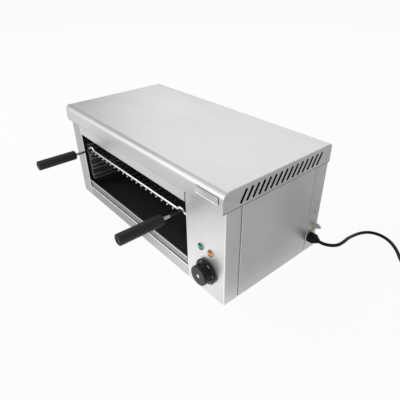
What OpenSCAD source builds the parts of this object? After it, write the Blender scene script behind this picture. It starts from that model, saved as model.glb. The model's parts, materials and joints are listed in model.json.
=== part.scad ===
// Cheese melter: a counter-top electric grill with a sliding wire rack and a drip tray.
//
// The part's own frame stands on the counter: z = 0 is the surface under the feet, and the
// origin is under the middle of the box round the appliance, grips and earth stud included.
// The sub-parts are drawn in the casing frame, which in_casing() sets up: x is measured from
// the casing's middle, y from the hood's front face and z from the casing's underside.
// Lengths are millimetres.

/* [Casing] */
// Width over the hood
casing_w = 600; // [570:5:660]
// Depth of the hood from its lip to its back flange
casing_d = 296; // [290:2:330]
// Height of the casing above its feet
casing_h = 254; // [252:1:280]
// Thickness of the steel sheet
sheet = 1; // [0.8:0.1:1.2]
// Gap between two sheets that are screwed or welded together
seat_gap = 0.2; // [0.1:0.05:0.3]
// Height of the hood's four flanges
hood_drop = 39; // [38:1:42]
// Outer radius of the hood's front roll
hood_roll = 13; // [11:1:15]
// Outer radius of the hood's other bends
hood_bend = 3; // [2.5:0.5:4]
// How far the rolled lip stands out past the hood's side flanges
lip_step = 0.5; // [0.3:0.1:0.8]
// How far the lip overhangs the front panels
lip_overhang = 9; // [8:0.5:11]
// Depth of the hem folded back under the lip
lip_hem = 5; // [4:0.5:6]
// Height of the side sheets hidden behind the hood's flanges
lap_h = 6; // [4:0.5:6.5]
// Outer radius of the bends in the body sheets
panel_bend = 2; // [1.75:0.25:3]
// Outer radius of the tight bends in the hems
hem_bend = 1.5; // [1.25:0.05:1.75]
// Depth of the feet that the grill space's sheets stand on
flange_w = 10; // [8:0.5:11]
// Width of the front strip that turns round each front corner
front_strip_w = 37.5; // [32:0.5:42]
// Width of the rear strip that turns round each back corner
rear_strip_w = 36; // [34:0.5:40]
// Width of the open seams beside the side covers
seam_w = 2; // [1.5:0.25:3]
// Depth of the folds along the seams
seam_fold = 8; // [6:0.5:9]
// Depth of the folds round the front opening
fold_d = 10; // [8:0.5:12]

/* [Front] */
// Width of the left front post
post_w = 46; // [42:0.5:50]
// Width of the control panel
panel_w = 110; // [104:1:120]
// Height of the base rail under the drip tray
rail_h = 28; // [26:1:32]
// Height of the drip tray's front
tray_front_h = 23; // [20:1:24]
// Height of the front opening above the tray
opening_h = 133; // [130:1:138]
// Width of the plain badge plate on the lip
badge_w = 59; // [40:1:70]
// Height of the plain badge plate
badge_h = 16; // [12:1:20]
// Thickness of the badge plate
badge_t = 1.2; // [0.8:0.1:1.6]
// Corner radius of the badge plate
badge_r = 3; // [2:0.5:5]

/* [Vents] */
// Number of slots in each side flange
slot_count = 15; // [12:1:16]
// Distance from slot to slot
slot_pitch = 15; // [12:0.5:15.5]
// Width of a slot
slot_w = 6; // [4:0.25:6]
// Height of a slot between its end centres
slot_rise = 20; // [16:0.5:21]
// How far a slot leans backwards over its height
slot_lean = 11.5; // [8:0.5:13]
// Distance from the lip's face to the foot of the first slot
slot_first = 42; // [40:1:46]
// Height of the slots' lower end centres above the flange's edge
slot_sill = 9; // [8.75:0.25:9.5]

/* [Feet and fasteners] */
// Diameter of a rubber foot
foot_d = 24; // [20:1:28]
// Height of a foot
foot_h = 8; // [6:0.5:12]
// Distance from a foot's centre to the casing's faces
foot_inset = 28; // [25:1:30]
// Diameter of the screws that hold the casing and the feet
screw_d = 4; // [3.5:0.1:4.5]
// Diameter of their heads
head_d = 8; // [7:0.25:8.5]
// Height of their heads
head_h = 2.2; // [1.6:0.1:2.6]
// Length of the screws that hold the casing
screw_l = 8; // [6:0.5:10]
// Width across a screw nut's flats
nut_af = 7; // [6.5:0.1:7.5]
// Thickness of a screw nut
nut_t = 3.2; // [2.6:0.1:3.6]
// Number of screws along the hood's back flange
hood_screw_count = 4; // [2:1:5]
// Distance from the outer screws to the casing's sides
hood_screw_inset = 30; // [25:1:40]
// Height of the hood's screws above the flange's edge
hood_screw_rise = 12; // [10:0.5:14]
// Height of the screw in each rear strip
strip_screw_z = 96; // [88:1:120]
// Diameter of the blind rivets in the hood's side flanges
rivet_d = 2.4; // [2:0.1:2.8]
// Diameter of their heads
rivet_head_d = 3.4; // [3:0.1:3.8]
// Height of their heads
rivet_head_h = 0.8; // [0.5:0.1:1]

/* [Grill space] */
// Depth of the grill space behind the front panels
space_d = 250; // [245:1:255]
// Height of the heat reflector over the casing's underside
reflector_z = 205; // [202:1:210]
// Number of rack levels
level_count = 4; // [3:1:4]
// Distance from level to level
level_pitch = 30; // [29:0.5:30.5]
// How far the runner ledges reach in
ledge_w = 12; // [10:0.5:14]
// Clear height of a runner channel
channel_h = 10; // [9:0.5:11]
// Thickness of the fibre blanket over the reflector
blanket_t = 15; // [10:1:25]

/* [Rack] */
// Diameter of the rack's frame bars
bar_d = 6; // [5.75:0.25:6.5]
// Diameter of its side wires
side_d = 5; // [4:0.25:5.5]
// Diameter of its cross wires
cross_d = 4; // [3:0.25:4.5]
// Number of cross wires
cross_count = 20; // [14:1:20]
// How far the outer cross wires are from the rack's ends
cross_inset = 30.7; // [28:0.1:34]
// Height of the rack's bars on the top level
rack_z = 147; // [145:1:149]
// Distance from the lip's face to the front bar
rack_front = 20; // [19.5:0.5:22]
// Depth of the rack between its front and rear bars
rack_d = 228; // [215:1:230]
// Gap between the rack and each side of the opening
rack_play = 1.5; // [1:0.25:2.5]
// Gap between sliding metal faces
slide_gap = 0.3; // [0.2:0.05:0.5]
// How far welded wires sink into each other
weld = 0.3; // [0.2:0.05:0.5]
// How much thicker a wire gets where it is bent, on each side
swell = 0.05; // [0.04:0.01:0.1]
// Distance from the front bar to the middle bar, where the handle rods end
rod_stop_d = 60; // [50:1:80]
// How far the cross wires stand out under the front bar
cross_proud = 1; // [0.5:0.25:2]
// How far each handle is from the opening's edge
handle_inset = 27.8; // [27:0.1:29]
// Width of the hump in the front bar over a rod
hump_top = 10; // [9:0.5:12]
// Width of the slope on each side of a hump
hump_slope = 7; // [6:0.5:7.5]
// Radius of the bends in the hump
hump_r = 6; // [4:0.5:7]
// Diameter of a handle rod
rod_d = 5; // [4:0.25:5.5]
// Diameter of the ferrule in front of a grip
ferrule_d = 7; // [6.5:0.5:9]
// Length of the ferrule
ferrule_l = 18; // [14:1:22]
// Diameter of a grip
grip_d = 23.5; // [20:0.5:28]
// Length of a grip
grip_l = 97; // [80:1:110]
// How far the grips reach in front of the lip
grip_reach = 124; // [120:1:140]
// How far the rods run into their grips
rod_grip_l = 60; // [50:1:75]
// Radius of a grip's rounded ends
grip_edge = 4; // [2:0.5:5]
// Depth of the dish in a grip's end face
grip_dish = 1.2; // [0.6:0.1:2]
// Width of the rim round that dish
grip_rim = 4.5; // [3:0.25:5]

/* [Drip tray] */
// Gap between the tray and each side of the opening
tray_play = 2; // [1.5:0.25:3]
// Height of the tray's side walls
tray_wall_h = 18; // [12:1:18]
// Depth of the open hem along the top of the tray's front
tray_hem = 3.5; // [3.5:0.25:4.5]
// Gap between the tray and the grill space's back wall
tray_back_gap = 6; // [4:1:10]
// How far the tray's front stays below the opening's sill
tray_top_gap = 0.5; // [0.2:0.1:1]

/* [Heating] */
// Number of hairpin elements
element_count = 3; // [2:1:3]
// Diameter of an element's sheath
element_d = 8; // [6.5:0.5:8.5]
// Distance from element to element
element_pitch = 66; // [60:1:68]
// Distance between the two legs of an element
hairpin_w = 34; // [30:1:38]
// Distance from the reflector down to the elements' middle
element_drop = 16; // [13:0.5:18]
// Distance from the elements' bends to the left side of the opening
element_inset = 40; // [35:1:60]
// How far the elements' cold ends reach behind the right wall
cold_end_l = 26; // [22:1:30]
// Wall of the bushes round the cold ends
bush_wall = 3; // [2:0.25:3.5]
// How far a bush reaches behind the wall
bush_l = 12; // [8:1:15]
// Rim of a bush
bush_rim = 2; // [1.5:0.25:2.5]
// Length of the terminal insulators on the cold ends
insulator_l = 6; // [4:0.5:8]
// Diameter of the terminal pins
terminal_d = 3; // [2.5:0.1:4]
// Length of the terminal pins
terminal_l = 10; // [7:0.5:12]

/* [Controls] */
// Distance from the knob's axis to the casing's right face
knob_inset = 48; // [44:1:52]
// Height of the knob's axis
knob_z = 57.5; // [54:0.5:62]
// Diameter of the knob's skirt
skirt_d = 55; // [50:1:58]
// Thickness of the skirt
skirt_t = 3; // [2.5:0.25:4]
// Gap between the skirt and the panel
skirt_gap = 4; // [2:0.25:5]
// Diameter of the knob's grip
knob_d = 42; // [36:1:46]
// Distance from the panel to the knob's face
knob_l = 24; // [22:0.5:30]
// Radius of the knob's rounded front edge
knob_edge = 1.5; // [1:0.25:2]
// Radius of the two finger hollows in the knob's side
hollow_r = 14; // [12:0.5:16]
// Depth of the finger hollows
hollow_depth = 5; // [4:0.25:6]
// Thickness of the knob's front rim, before the hollows
hollow_rim = 5.5; // [4.5:0.25:6]
// Width of the ledge between the finger hollows and the skirt
hollow_ledge = 0.5; // [0.5:0.25:3]
// Diameter of the plain disc in the knob's face
disc_d = 12; // [8:0.5:14]
// Thickness of that disc
disc_t = 0.8; // [0.6:0.1:1.2]
// Distance from the knob's face to the end of its socket
socket_z = 8; // [6.5:0.25:9]
// Diameter of the recess behind the skirt
recess_d = 44; // [40:1:46]
// Depth of that recess
recess_l = 1.3; // [0.8:0.1:1.5]
// Diameter of the thermostat's spindle
spindle_d = 6; // [5:0.5:6.5]
// Running clearance of the spindle
spindle_play = 0.05; // [0.02:0.01:0.08]
// Diameter of the thermostat's neck in the panel
neck_d = 10; // [9:0.25:11]
// Width of the thermostat's case
thermostat_w = 34; // [30:1:38]
// Height of the thermostat's case
thermostat_h = 44; // [42:1:48]
// Depth of the thermostat's case
thermostat_l = 26; // [24:1:32]
// Distance between the thermostat's two screws
screw_pitch = 28; // [26:0.5:30]
// Diameter of the thermostat's screws
knob_screw_d = 3.4; // [3:0.1:3.6]
// Diameter of their heads
knob_head_d = 6.5; // [6:0.1:7]
// Height of their heads
knob_head_h = 1.2; // [0.8:0.1:1.4]
// Length of a tab terminal
tab_l = 7; // [5:0.5:9]
// Width of a tab terminal
tab_w = 4; // [3:0.25:4.5]
// Thickness of a tab terminal
tab_t = 0.8; // [0.5:0.1:1.2]
// Diameter of the sensing bulb
bulb_d = 6; // [4:0.25:7]
// Length of the sensing bulb
bulb_l = 90; // [70:1:100]
// Distance from the reflector down to the bulb's middle
bulb_drop = 31; // [28:0.5:33]
// Diameter of the capillary tube
capillary_d = 2; // [1.5:0.1:2.5]
// Diameter of a pilot lamp's bezel
bezel_d = 16; // [15.5:0.5:17]
// Diameter of a lamp's lens
lens_d = 14.5; // [13:0.25:14.75]
// Height of the lamps
lamp_z = 106.5; // [100:0.5:120]
// Distance between the two lamps
lamp_pitch = 28; // [24:0.5:32]
// Distance from the right lamp to the casing's right face
lamp_inset = 38.5; // [36:0.5:44]
// Thickness of a bezel's flange
bezel_t = 1.2; // [0.8:0.1:1.6]
// Height of the rim round the lens
bezel_rim = 0.4; // [0.3:0.1:0.6]
// Height of a lens in its bezel
lens_h = 2.4; // [2.3:0.1:3]
// Diameter of a lamp's body
lamp_body_d = 10.5; // [9:0.25:11]
// Length of a lamp's body
lamp_body_l = 24; // [18:1:30]
// Thickness of a lamp's nut
lamp_nut_t = 2; // [1.5:0.1:3]

/* [Supply] */
// Height of the cable gland
gland_z = 35; // [32:1:38]
// Distance from the gland's axis to the back face
gland_inset = 22.8; // [16:0.1:24]
// Width across the gland's flats
gland_af = 22; // [20:0.5:22]
// Diameter of the gland's thread
gland_thread_d = 16; // [14:0.5:17]
// How far the gland stands out of the casing
gland_l = 23.7; // [20:0.1:28]
// How far the gland's thread reaches into the casing
gland_inner_l = 12; // [8:0.5:14]
// Thickness of the gland's nut
gland_nut_t = 5; // [4:0.25:6]
// Width of the terminal block
block_w = 46; // [42:1:50]
// Depth of the terminal block
block_d = 20; // [18:1:24]
// Height of the terminal block
block_h = 16; // [14:0.5:20]
// Distance from pole to pole in the terminal block
pole_pitch = 15; // [13:0.5:16]
// Diameter of a terminal screw
pole_d = 6; // [5:0.25:7]
// Diameter of an insulated lead
core_d = 2.6; // [2:0.1:3]
// Height of the earth stud
stud_z = 64; // [60:1:70]
// Distance from the stud's axis to the back face
stud_inset = 14; // [12:0.5:20]
// Diameter of the earth stud
stud_d = 6; // [5:0.5:6]
// How far the stud reaches past the hood's lip end
stud_reach = 16; // [15:0.5:20]
// How far the stud reaches into the casing
stud_inner_l = 12; // [8:0.5:15]
// Width across a stud nut's flats
stud_nut_af = 10; // [9.5:0.25:11]
// Thickness of a stud nut
stud_nut_t = 4.8; // [3.5:0.1:5]
// Diameter of a stud washer
washer_d = 12; // [11:0.5:13]
// Thickness of a stud washer
washer_t = 1.2; // [0.8:0.1:1.4]
// Length of the plain coloured patch under the stud
patch_l = 13; // [8:0.5:15]
// Height of the patch
patch_h = 10; // [6:0.5:11]
// Thickness of the patch
patch_t = 0.3; // [0.2:0.1:0.4]

/* [Cord] */
// Diameter of the supply cord
cord_d = 7.4; // [6.8:0.1:7.6]
// Diameter of the coil at the middle of its turns
coil_mid_d = 84; // [78:1:88]
// Layers of turns in the coil
coil_layers = 3; // [2:1:3]
// Diameter of the plug's face
plug_d = 38; // [36:0.5:40]
// Diameter of a plug pin
pin_d = 4.8; // [4:0.1:4.8]
// Length of a plug pin
pin_l = 19; // [17:0.5:19]
// Distance between the plug pins
pin_pitch = 19; // [17:0.5:19]
// Length of the plug's tapered strain relief
relief_l = 30; // [24:1:35]
// Length of the plug's neck
neck_l = 22; // [18:1:26]
// Diameter of the plug's neck
plug_neck_d = 27; // [24:0.5:30]
// Length of the plug's face
plug_face_l = 22; // [18:1:26]
// Radius of the plug's rounded edge
plug_edge = 3; // [2:0.5:4]

/* [Hidden] */
$fn = 48;

// What lets neighbouring shapes join, and tools cut right through
eps = 0.01;
cut = 1;
far = 1000;

// Clearances round pins, screws and sleeves
fit_gap = 0.2;
pin_gap = 0.05;

// Casing outline
half_w = casing_w / 2;
plate_x = half_w - lip_step;
body_x = plate_x - sheet - seat_gap;
sheet_x = body_x - sheet - seat_gap;
face_y = lip_overhang;
inner_y = face_y + sheet + seat_gap;
back_y = casing_d - sheet - seat_gap;
floor_z = sheet + seat_gap;
flange_z = casing_h - hood_drop;
lap_z = flange_z + lap_h;
front_top = casing_h - hood_roll + sqrt(pow(hood_roll - sheet, 2) - pow(hood_roll - face_y, 2)) - seat_gap;
back_top = casing_h - hood_bend - seat_gap;
front_seam = face_y + front_strip_w;
rear_seam = back_y - rear_strip_w;

// Front opening and the grill space behind it
open_x0 = post_w - body_x;
open_x1 = body_x - panel_w;
open_cx = (open_x0 + open_x1) / 2;
open_half = (open_x1 - open_x0) / 2;
sill_z = rail_h + tray_front_h;
fascia_z = sill_z + opening_h;
wall_half = open_half + sheet + seat_gap;
wall_x = open_cx + wall_half;
space_y = face_y + space_d;
runner_y0 = face_y + fold_d + cut;
runner_y1 = space_y - 2 * sheet;

// Rack and its handles
level_floor = rack_z - bar_d / 2 - slide_gap;
level_low = level_floor - (level_count - 1) * level_pitch;
bar_end = open_half - rack_play;
cross_pitch = 2 * (bar_end - cross_inset) / (cross_count - 1);
rack_back = rack_front + rack_d;
rod_stop = rack_front + rod_stop_d;
cross_z = rack_z - bar_d / 2 - cross_d / 2 + weld;
hump_h = (bar_d + rod_d) / 2 + seat_gap;
handle_xs = [handle_inset - open_half, open_half - handle_inset];
grip_y0 = -grip_reach;
grip_y1 = grip_y0 + grip_l;

// Tray
tray_z = rail_h + slide_gap;
tray_top = sill_z - tray_top_gap;
tray_half = open_half - tray_play;
tray_back = space_y - tray_back_gap;
tray_y = face_y + tray_hem - sheet;

// Elements: the middle hairpin lies over the middle of the rack
element_z = reflector_z - element_drop;
element_y = (rack_front + rack_back) / 2 + 2 * flange_w / 2;
element_left = open_x0 + element_inset;
element_right = wall_x + sheet + cold_end_l;
hairpin_ys = [for (i = [0 : element_count - 1]) element_y + (i - (element_count - 1) / 2) * element_pitch];
leg_ys = [for (y = hairpin_ys, s = [-1, 1]) y + s * hairpin_w / 2];
last_leg = len(leg_ys) - 1;
bush_d = element_d + 2 * bush_wall;
bracket_xs = [element_left + hairpin_w / 2, open_cx];
pin_end = element_right + insulator_l + terminal_l;

// Controls
knob_x = body_x - knob_inset;
knob_y = face_y - knob_l;
hollow_turn = -60;
thermostat_back = inner_y + thermostat_l;
tab_y = thermostat_back + tab_l;
tab_dx = thermostat_w / 4;
bulb_x = wall_x - seat_gap - bulb_d;
bulb_y1 = space_y - 3 * flange_w;
bulb_y0 = bulb_y1 - bulb_l;
capillary_y = bulb_y0 - bulb_d * 2;
bulb_z = reflector_z - bulb_drop;
lamp_xs = [body_x - lamp_inset - lamp_pitch, body_x - lamp_inset];
lamp_y = face_y - bezel_t;

// Supply entry on the right rear strip
gland_y = back_y - gland_inset;
gland_tip = body_x + gland_l;
gland_end = body_x - gland_inner_l;
tail_end = gland_end - gland_inner_l;
block_x = tail_end - block_w;
block_y = gland_y - 2 * block_d;
pole_xs = [for (i = [-1 : 1]) block_x + block_w / 2 + i * pole_pitch];
pole_y = block_y + block_d / 2;
pole_z = floor_z + block_h * 0.7;
lead_z = floor_z + block_h / 2;
stud_y = back_y - stud_inset;
stud_end = body_x - stud_inner_l;
stud_tip = half_w + stud_reach;
stud_out = [for (i = [0 : 1]) body_x + seat_gap + i * (washer_t + stud_nut_t + 2 * seat_gap)];

// The part's frame: half a stud's reach left of the casing's middle, and midway between the
// grips' ends and the back
case_x = -stud_reach / 2;
case_y = (grip_reach - casing_d) / 2;

// Free cord, in the part's own frame: out of the gland, back and down to the counter, round to
// the right in a wide bend, and into the coil
cord_route = [
    [314, 186, 43], [320, 186, 43], [329, 187.5, 43], [337, 191.5, 43], [343.5, 198, 42.5],
    [347.5, 206, 41.5], [349, 215.5, 40], [348.5, 228, 37.5], [346.5, 242.5, 34],
    [343.5, 258, 29.5], [340.5, 273, 24], [338, 289, 17.5], [336, 305, 11.5], [335.5, 320, 7],
    [337.5, 334, 4.5], [343, 346, 4], [352, 355.5, 4], [364, 361.5, 4], [378, 363, 4],
    [393, 360, 4], [407, 353, 4], [420, 343, 4], [432, 331, 4], [443, 318, 4], [454, 306, 4],
    [466, 296, 4], [481, 289, 4]
];
coil_centre = [500, 332];
plug_x = coil_centre[0] + (coil_mid_d + cord_d) / 2;
plug_y = coil_centre[1] + coil_mid_d / 5;
plug_face_y = plug_y + relief_l + neck_l;

// ---- Shapes that several sub-parts share ----

module in_casing() translate([case_x, case_y, foot_h]) children();

// Places its children where x = 0 is the middle of the opening and the grill space
module in_space() in_casing() translate([open_cx, 0, 0]) children();

// Extrudes a (y, z) outline from x0 to x1
module along_x(x0, x1) translate([x0, 0, 0]) rotate([90, 0, 90]) linear_extrude(x1 - x0) children();

// Extrudes an (x, z) outline from y0 to y1
module along_y(y0, y1) translate([0, y1, 0]) rotate([90, 0, 0]) linear_extrude(y1 - y0) children();

// Extrudes an (x, y) outline from z0 to z1
module along_z(z0, z1) translate([0, 0, z0]) linear_extrude(z1 - z0) children();

// Round bars from one place to another along an axis
module bar_x(x0, x1, y, z, d) translate([x0, y, z]) rotate([0, 90, 0]) cylinder(d = d, h = x1 - x0);
module bar_y(y0, y1, x, z, d) translate([x, y0, z]) rotate([-90, 0, 0]) cylinder(d = d, h = y1 - y0);
module bar_z(z0, z1, x, y, d) translate([x, y, z0]) cylinder(d = d, h = z1 - z0);

// A hexagon nut along x, af across its flats
module hex_x(x0, x1, y, z, af)
    translate([x0, y, z]) rotate([0, 90, 0]) cylinder(d = af / cos(30), h = x1 - x0, $fn = 6);

module both_sides() {
    children();
    mirror([1, 0, 0]) children();
}

function unit(v) = v / norm(v);
function left_of(v) = [-v[1], v[0]];
function repeated(r, n) = [for (i = [1 : n]) r];

// Section of a folded sheet. The path is its outer face, every fold is square and turns left,
// and the sheet lies on the path's left. radii gives the outer radius of each fold.
module folded(path, radii) {
    last = len(path) - 1;
    for (i = [0 : last - 1]) {
        way = unit(path[i + 1] - path[i]);
        a = path[i] + way * (i > 0 ? radii[i - 1] : 0);
        b = path[i + 1] - way * (i < last - 1 ? radii[i] : 0);
        polygon([a, b, b + left_of(way) * sheet, a + left_of(way) * sheet]);
    }
    for (i = [1 : last - 1]) {
        r = radii[i - 1];
        way = unit(path[i] - path[i - 1]);
        next = unit(path[i + 1] - path[i]);
        centre = path[i] + (next - way) * r;
        intersection() {
            translate(centre) difference() {
                circle(r);
                circle(r - sheet);
            }
            polygon([centre, centre + way * r, centre + (way - next) * r, centre - next * r]);
        }
    }
}

// Rectangle with rounded corners, centred
module rounded(w, h, r) {
    square([w - 2 * r, h], center = true);
    square([w, h - 2 * r], center = true);
    for (sx = [-1, 1], sy = [-1, 1]) translate([sx * (w / 2 - r), sy * (h / 2 - r)]) circle(r);
}

// How far the bend at the path's point i turns, and how far before that point it starts
function turn_at(path, i) = acos(unit(path[i] - path[i - 1]) * unit(path[i + 1] - path[i]));
function setback(path, i, r) = i == 0 || i == len(path) - 1 ? 0 : r * tan(turn_at(path, i) / 2);

// Round wire bent in the upright plane at y, along a path of (x, z) points: straight lengths
// joined by bends whose middle has the radius r, and which bending has swollen a little
module bent_wire(path, y, d, r) translate([0, y, 0]) rotate([90, 0, 0]) {
    for (i = [0 : len(path) - 2]) {
        way = unit(path[i + 1] - path[i]);
        a = path[i] + way * max(setback(path, i, r) - weld, 0);
        b = path[i + 1] - way * max(setback(path, i + 1, r) - weld, 0);
        translate(a) rotate([0, 90, atan2(way[1], way[0])]) cylinder(d = d, h = norm(b - a));
    }
    for (i = [1 : len(path) - 2]) {
        way = unit(path[i] - path[i - 1]);
        next = unit(path[i + 1] - path[i]);
        centre = path[i] + unit(next - way) * r / cos(turn_at(path, i) / 2);
        arm = path[i] + (cross(way, next) > 0 ? -way : next) * setback(path, i, r) - centre;
        translate(centre) rotate(atan2(arm[1], arm[0]))
            rotate_extrude(angle = turn_at(path, i)) translate([r, 0]) circle(d = d + 2 * swell);
    }
}

// Tube swept along points: a ring of corners round each point, square to the way it runs there
function way_at(p, i) = unit(p[min(i + 1, len(p) - 1)] - p[max(i - 1, 0)]);
function ring_at(p, i, d, sides, up) =
    let (way = way_at(p, i), side = unit(cross(way, up)), rise = cross(side, way))
    [for (k = [0 : sides - 1]) p[i] + (side * cos(360 * k / sides) + rise * sin(360 * k / sides)) * d / 2];

module tube(points, d, sides, up) {
    last = len(points) - 1;
    polyhedron(
        points = [for (i = [0 : last]) each ring_at(points, i, d, sides, up)],
        faces = concat(
            [[for (k = [0 : sides - 1]) k]],
            [for (i = [0 : last - 1], k = [0 : sides - 1])
                let (a = i * sides, n = (k + 1) % sides)
                [a + k, a + sides + k, a + sides + n, a + n]],
            [[for (k = [sides - 1 : -1 : 0]) last * sides + k]]
        )
    );
}

// The same points with each corner eased into a curve that starts r before it
function eased(p, r) = concat(
    [p[0]],
    [for (i = [1 : len(p) - 2])
        let (a = p[i] + unit(p[i - 1] - p[i]) * r, b = p[i] + unit(p[i + 1] - p[i]) * r)
        each [for (t = [0 : 0.25 : 1]) a * (1 - t) * (1 - t) + p[i] * 2 * t * (1 - t) + b * t * t]],
    [p[len(p) - 1]]
);

// An insulated lead or thin pipe through points in the casing frame
module lead(points, d) tube(eased(points, 3 * d), d, 8, [1, 1, 1]);

// The room that the base pan takes up inside the body sheets
module pan_room()
    translate([sheet - body_x, face_y + sheet, -cut])
        cube([2 * (body_x - sheet), back_y - face_y - 2 * sheet, cut + floor_z]);

// ---- Hood ----

hood_screw_xs = [
    for (i = [0 : hood_screw_count - 1])
        (half_w - hood_screw_inset) * (2 * i / (hood_screw_count - 1) - 1)
];
hood_screw_z = flange_z + hood_screw_rise;
rivet_y = rear_seam + rivet_head_d;
rivet_z = back_top - rivet_head_d / 2;

// Rolled front: a stub of the top, the roll, the lip and its hem
module hood_front_section()
    folded(
        [[hood_roll + eps, casing_h], [0, casing_h], [0, flange_z], [lip_hem, flange_z]],
        [hood_roll, hem_bend]
    );

// Top and back flange
module hood_rear_section()
    folded([[casing_d, flange_z], [casing_d, casing_h], [hood_roll, casing_h]], [hood_bend]);

// Outline of a side flange below the bend along its top edge
module hood_side_outline() {
    translate([sheet / 2, flange_z])
        square([casing_d - sheet / 2, casing_h - hood_roll - flange_z]);
    translate([hood_roll, flange_z]) square([casing_d - hood_roll, casing_h - hood_bend - flange_z]);
    translate([hood_roll, casing_h - hood_roll]) intersection() {
        circle(hood_roll - sheet / 2);
        translate([-hood_roll, 0]) square(hood_roll + eps);
    }
}

module vent_slot() {
    run = norm([slot_lean, slot_rise]);
    rotate(atan2(slot_rise, slot_lean)) {
        translate([0, -slot_w / 2]) square([run, slot_w]);
        circle(d = slot_w);
        translate([run, 0]) circle(d = slot_w);
    }
}

module hood() {
    top_x = plate_x - hood_bend;
    bend_z = casing_h - hood_bend;
    color("gainsboro") in_casing() difference() {
        union() {
            along_x(-half_w, half_w) hood_front_section();
            along_x(-top_x, top_x) hood_rear_section();
            both_sides() {
                along_x(plate_x - sheet, plate_x) hood_side_outline();
                along_y(hood_roll, casing_d - hood_bend)
                    folded([[plate_x, bend_z - eps], [plate_x, casing_h], [top_x - eps, casing_h]],
                        [hood_bend]);
                translate([top_x, casing_d - hood_bend, bend_z]) intersection() {
                    sphere(hood_bend);
                    cube(hood_bend);
                }
                along_x(top_x - eps, plate_x)
                    translate([casing_d - sheet, flange_z]) square([sheet, hood_drop - hood_bend]);
            }
        }
        along_x(-far, far) for (i = [0 : slot_count - 1])
            translate([slot_first + i * slot_pitch, flange_z + slot_sill]) vent_slot();
        for (x = hood_screw_xs)
            bar_y(casing_d - sheet - cut, casing_d + cut, x, hood_screw_z, screw_d + 2 * fit_gap);
        bar_x(-far, far, rivet_y, rivet_z, rivet_d + 2 * pin_gap);
    }
}

module badge_plate() color("silver") in_casing()
    along_y(-badge_t, 0)
        translate([body_x - lamp_inset, casing_h - hood_roll - badge_h / 4])
            rounded(badge_w, badge_h, badge_r);

// ---- Body sheets ----

// A front corner w wide, from the fold at the opening to the fold at the side seam
module front_corner(w) difference() {
    union() {
        along_z(0, lap_z) folded(
            [
                [body_x - w, face_y + fold_d], [body_x - w, face_y], [body_x, face_y],
                [body_x, front_seam], [body_x - seam_fold, front_seam]
            ],
            repeated(panel_bend, 3)
        );
        along_z(lap_z - eps, front_top)
            translate([body_x - w + panel_bend, face_y]) square([w - 2 * panel_bend, sheet]);
    }
    pan_room();
}

module left_front_post() color("lightgray") in_casing() mirror([1, 0, 0]) front_corner(post_w);

module control_panel() color("lightgray") in_casing() difference() {
    front_corner(panel_w);
    bar_y(face_y - cut, inner_y, knob_x, knob_z, neck_d + 2 * fit_gap);
    for (s = [-1, 1])
        bar_y(face_y - cut, inner_y, knob_x, knob_z + s * screw_pitch / 2, knob_screw_d + fit_gap);
    for (x = lamp_xs) bar_y(face_y - cut, inner_y, x, lamp_z, lamp_body_d + 2 * fit_gap);
}

module front_fascia() color("lightgray") in_casing()
    along_x(open_x0 + seat_gap, open_x1 - seat_gap)
        folded([[face_y, front_top], [face_y, fascia_z], [face_y + fold_d, fascia_z]], [panel_bend]);

module base_front_rail() color("lightgray") in_casing()
    along_x(open_x0 + seat_gap, open_x1 - seat_gap)
        folded([[face_y + fold_d, rail_h], [face_y, rail_h], [face_y, 0]], [panel_bend]);

// A removable cover between two open seams, with a foot that rests on the base pan
module side_cover() {
    y0 = front_seam + seam_w;
    y1 = rear_seam - seam_w;
    difference() {
        along_z(0, lap_z) folded(
            [[body_x - seam_fold, y0], [body_x, y0], [body_x, y1], [body_x - seam_fold, y1]],
            repeated(panel_bend, 2)
        );
        pan_room();
    }
    translate([body_x - flange_w, y0 + flange_w, floor_z])
        cube([flange_w - sheet / 2, y1 - y0 - 2 * flange_w, sheet]);
}

module right_side_cover() color("darkgray") in_casing() side_cover();
module left_side_cover() color("darkgray") in_casing() mirror([1, 0, 0]) side_cover();

module back_panel() color("darkgray") in_casing() difference() {
    along_z(0, back_top) folded(
        [
            [body_x - seam_fold, rear_seam], [body_x, rear_seam], [body_x, back_y],
            [-body_x, back_y], [-body_x, rear_seam], [seam_fold - body_x, rear_seam]
        ],
        repeated(panel_bend, 4)
    );
    pan_room();
    bar_x(sheet_x, body_x + cut, gland_y, gland_z, gland_thread_d + 2 * fit_gap);
    bar_x(sheet_x, body_x + cut, stud_y, stud_z, stud_d + 2 * fit_gap);
    both_sides() {
        bar_x(sheet_x, body_x + cut, stud_y, strip_screw_z, screw_d + 2 * fit_gap);
        bar_x(sheet_x, body_x + cut, rivet_y, rivet_z, rivet_d + 2 * pin_gap);
    }
    for (x = hood_screw_xs)
        bar_y(back_y - sheet - cut, back_y + cut, x, hood_screw_z, screw_d + 2 * fit_gap);
}

module at_feet() for (sx = [-1, 1], y = [face_y + foot_inset, back_y - foot_inset])
    translate([sx * (body_x - foot_inset), y, 0]) children();

module base_pan() color("gray") in_casing() difference() {
    translate([-sheet_x, inner_y, 0]) cube([2 * sheet_x, back_y - sheet - seat_gap - inner_y, sheet]);
    at_feet() bar_z(-cut, sheet + cut, 0, 0, screw_d + 2 * fit_gap);
}

// ---- Grill space ----

// The space's left wall with the foot that it stands on
module space_side() along_y(inner_y, space_y - seat_gap) {
    translate([-wall_half - sheet, floor_z]) square([sheet, reflector_z - floor_z - seat_gap]);
    translate([-wall_half - sheet - flange_w, floor_z]) square([flange_w + eps, sheet]);
}

module space_left_wall() color("dimgray") in_space() space_side();

module space_right_wall() color("dimgray") in_space() difference() {
    mirror([1, 0, 0]) space_side();
    for (y = leg_ys) bar_x(wall_half - cut, wall_half + 2 * sheet, y, element_z, bush_d + 2 * fit_gap);
    bar_x(wall_half - cut, wall_half + 2 * sheet, capillary_y, bulb_z, capillary_d + 2 * fit_gap);
}

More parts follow.
